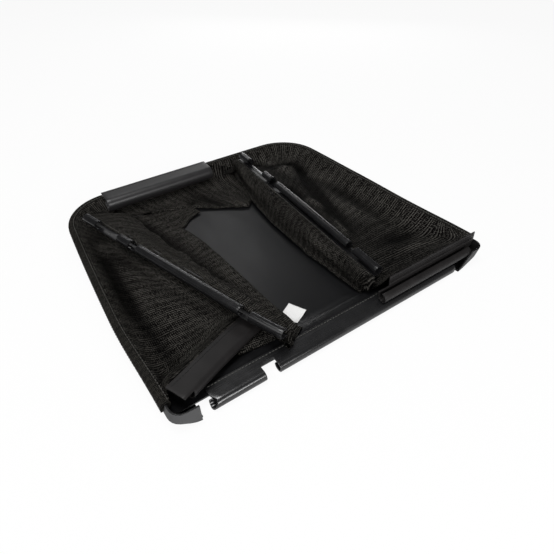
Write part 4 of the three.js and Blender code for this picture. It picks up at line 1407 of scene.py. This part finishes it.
# %% [markdown]
# The floor takes the soft shadow, but to the camera it glows almost white, so that it runs into
# the background. Five softboxes light the bag: above, behind, at the left, low at the far right
# for the rim, and a broad one in front, which draws the long highlights on the clips.

# %% Floor, world and lamps
FLOOR_REACH, FLOOR_Z = 4000.0, -0.2


def stage_floor():
    sides = ((-1, -1), (1, -1), (1, 1), (-1, 1))
    corners = [(FLOOR_REACH * x, FLOOR_REACH * y, FLOOR_Z) for x, y in sides]
    floor = make_piece("studio_floor", corners, [(0, 1, 2, 3)])
    material, tree, shader = new_material("studio_floor", 0.9, 0.0)
    set_up(tree, shader, Base_Color=(0.85, 0.85, 0.85, 1))
    glow = node(tree, "ShaderNodeEmission", Strength=1.0)
    path = node(tree, "ShaderNodeLightPath")
    blend = node(tree, "ShaderNodeMixShader", Fac=times(tree, path.outputs["Is Camera Ray"], 0.93))
    plug(tree, shader.outputs["BSDF"], blend.inputs[1])
    plug(tree, glow.outputs["Emission"], blend.inputs[2])
    set_up(tree, tree.nodes["Material Output"], Surface=blend.outputs["Shader"])
    floor.data.materials.append(material)


def studio_world(light):
    world = bpy.data.worlds.new("studio")
    bpy.context.scene.world = world
    world.use_nodes = True
    tree = world.node_tree
    path = node(tree, "ShaderNodeLightPath")
    seen = times(tree, path.outputs["Is Camera Ray"], 1.0 - light)
    back = tree.nodes["Background"]
    set_up(tree, back, Color=(1, 1, 1, 1), Strength=plus(tree, seen, light))


def softbox(name, place_m, aim_m, size, power):
    data = bpy.data.lights.new(name, "AREA")
    data.shape, data.size, data.size_y = "RECTANGLE", size[0], size[1]
    data.energy = power
    lamp = bpy.data.objects.new(name, data)
    lamp.location = place_m
    lamp.rotation_euler = (Vector(aim_m) - Vector(place_m)).to_track_quat("-Z", "Y").to_euler()
    bpy.context.scene.collection.objects.link(lamp)


stage_floor()
studio_world(0.13)
softbox("top", (-0.2, 0.0, 1.4), (0, 0, 0), (0.45, 0.45), 9.0)
softbox("back", (0.35, 1.25, 1.05), (0, 0, 0), (0.8, 0.4), 2.2)
softbox("left", (-0.9, -0.25, 0.9), (0, 0, 0), (0.8, 0.6), 4.5)
softbox("rim_strip", (0.8, 0.95, 0.3), (0, 0, 0.03), (0.9, 0.1), 2.4)
softbox("front", (-0.1, -1.4, 0.6), (0, -0.1, 0), (0.9, 0.3), 12.5)
bpy.context.scene.view_settings.view_transform = "Standard"
print("lamps:", len(bpy.data.lights))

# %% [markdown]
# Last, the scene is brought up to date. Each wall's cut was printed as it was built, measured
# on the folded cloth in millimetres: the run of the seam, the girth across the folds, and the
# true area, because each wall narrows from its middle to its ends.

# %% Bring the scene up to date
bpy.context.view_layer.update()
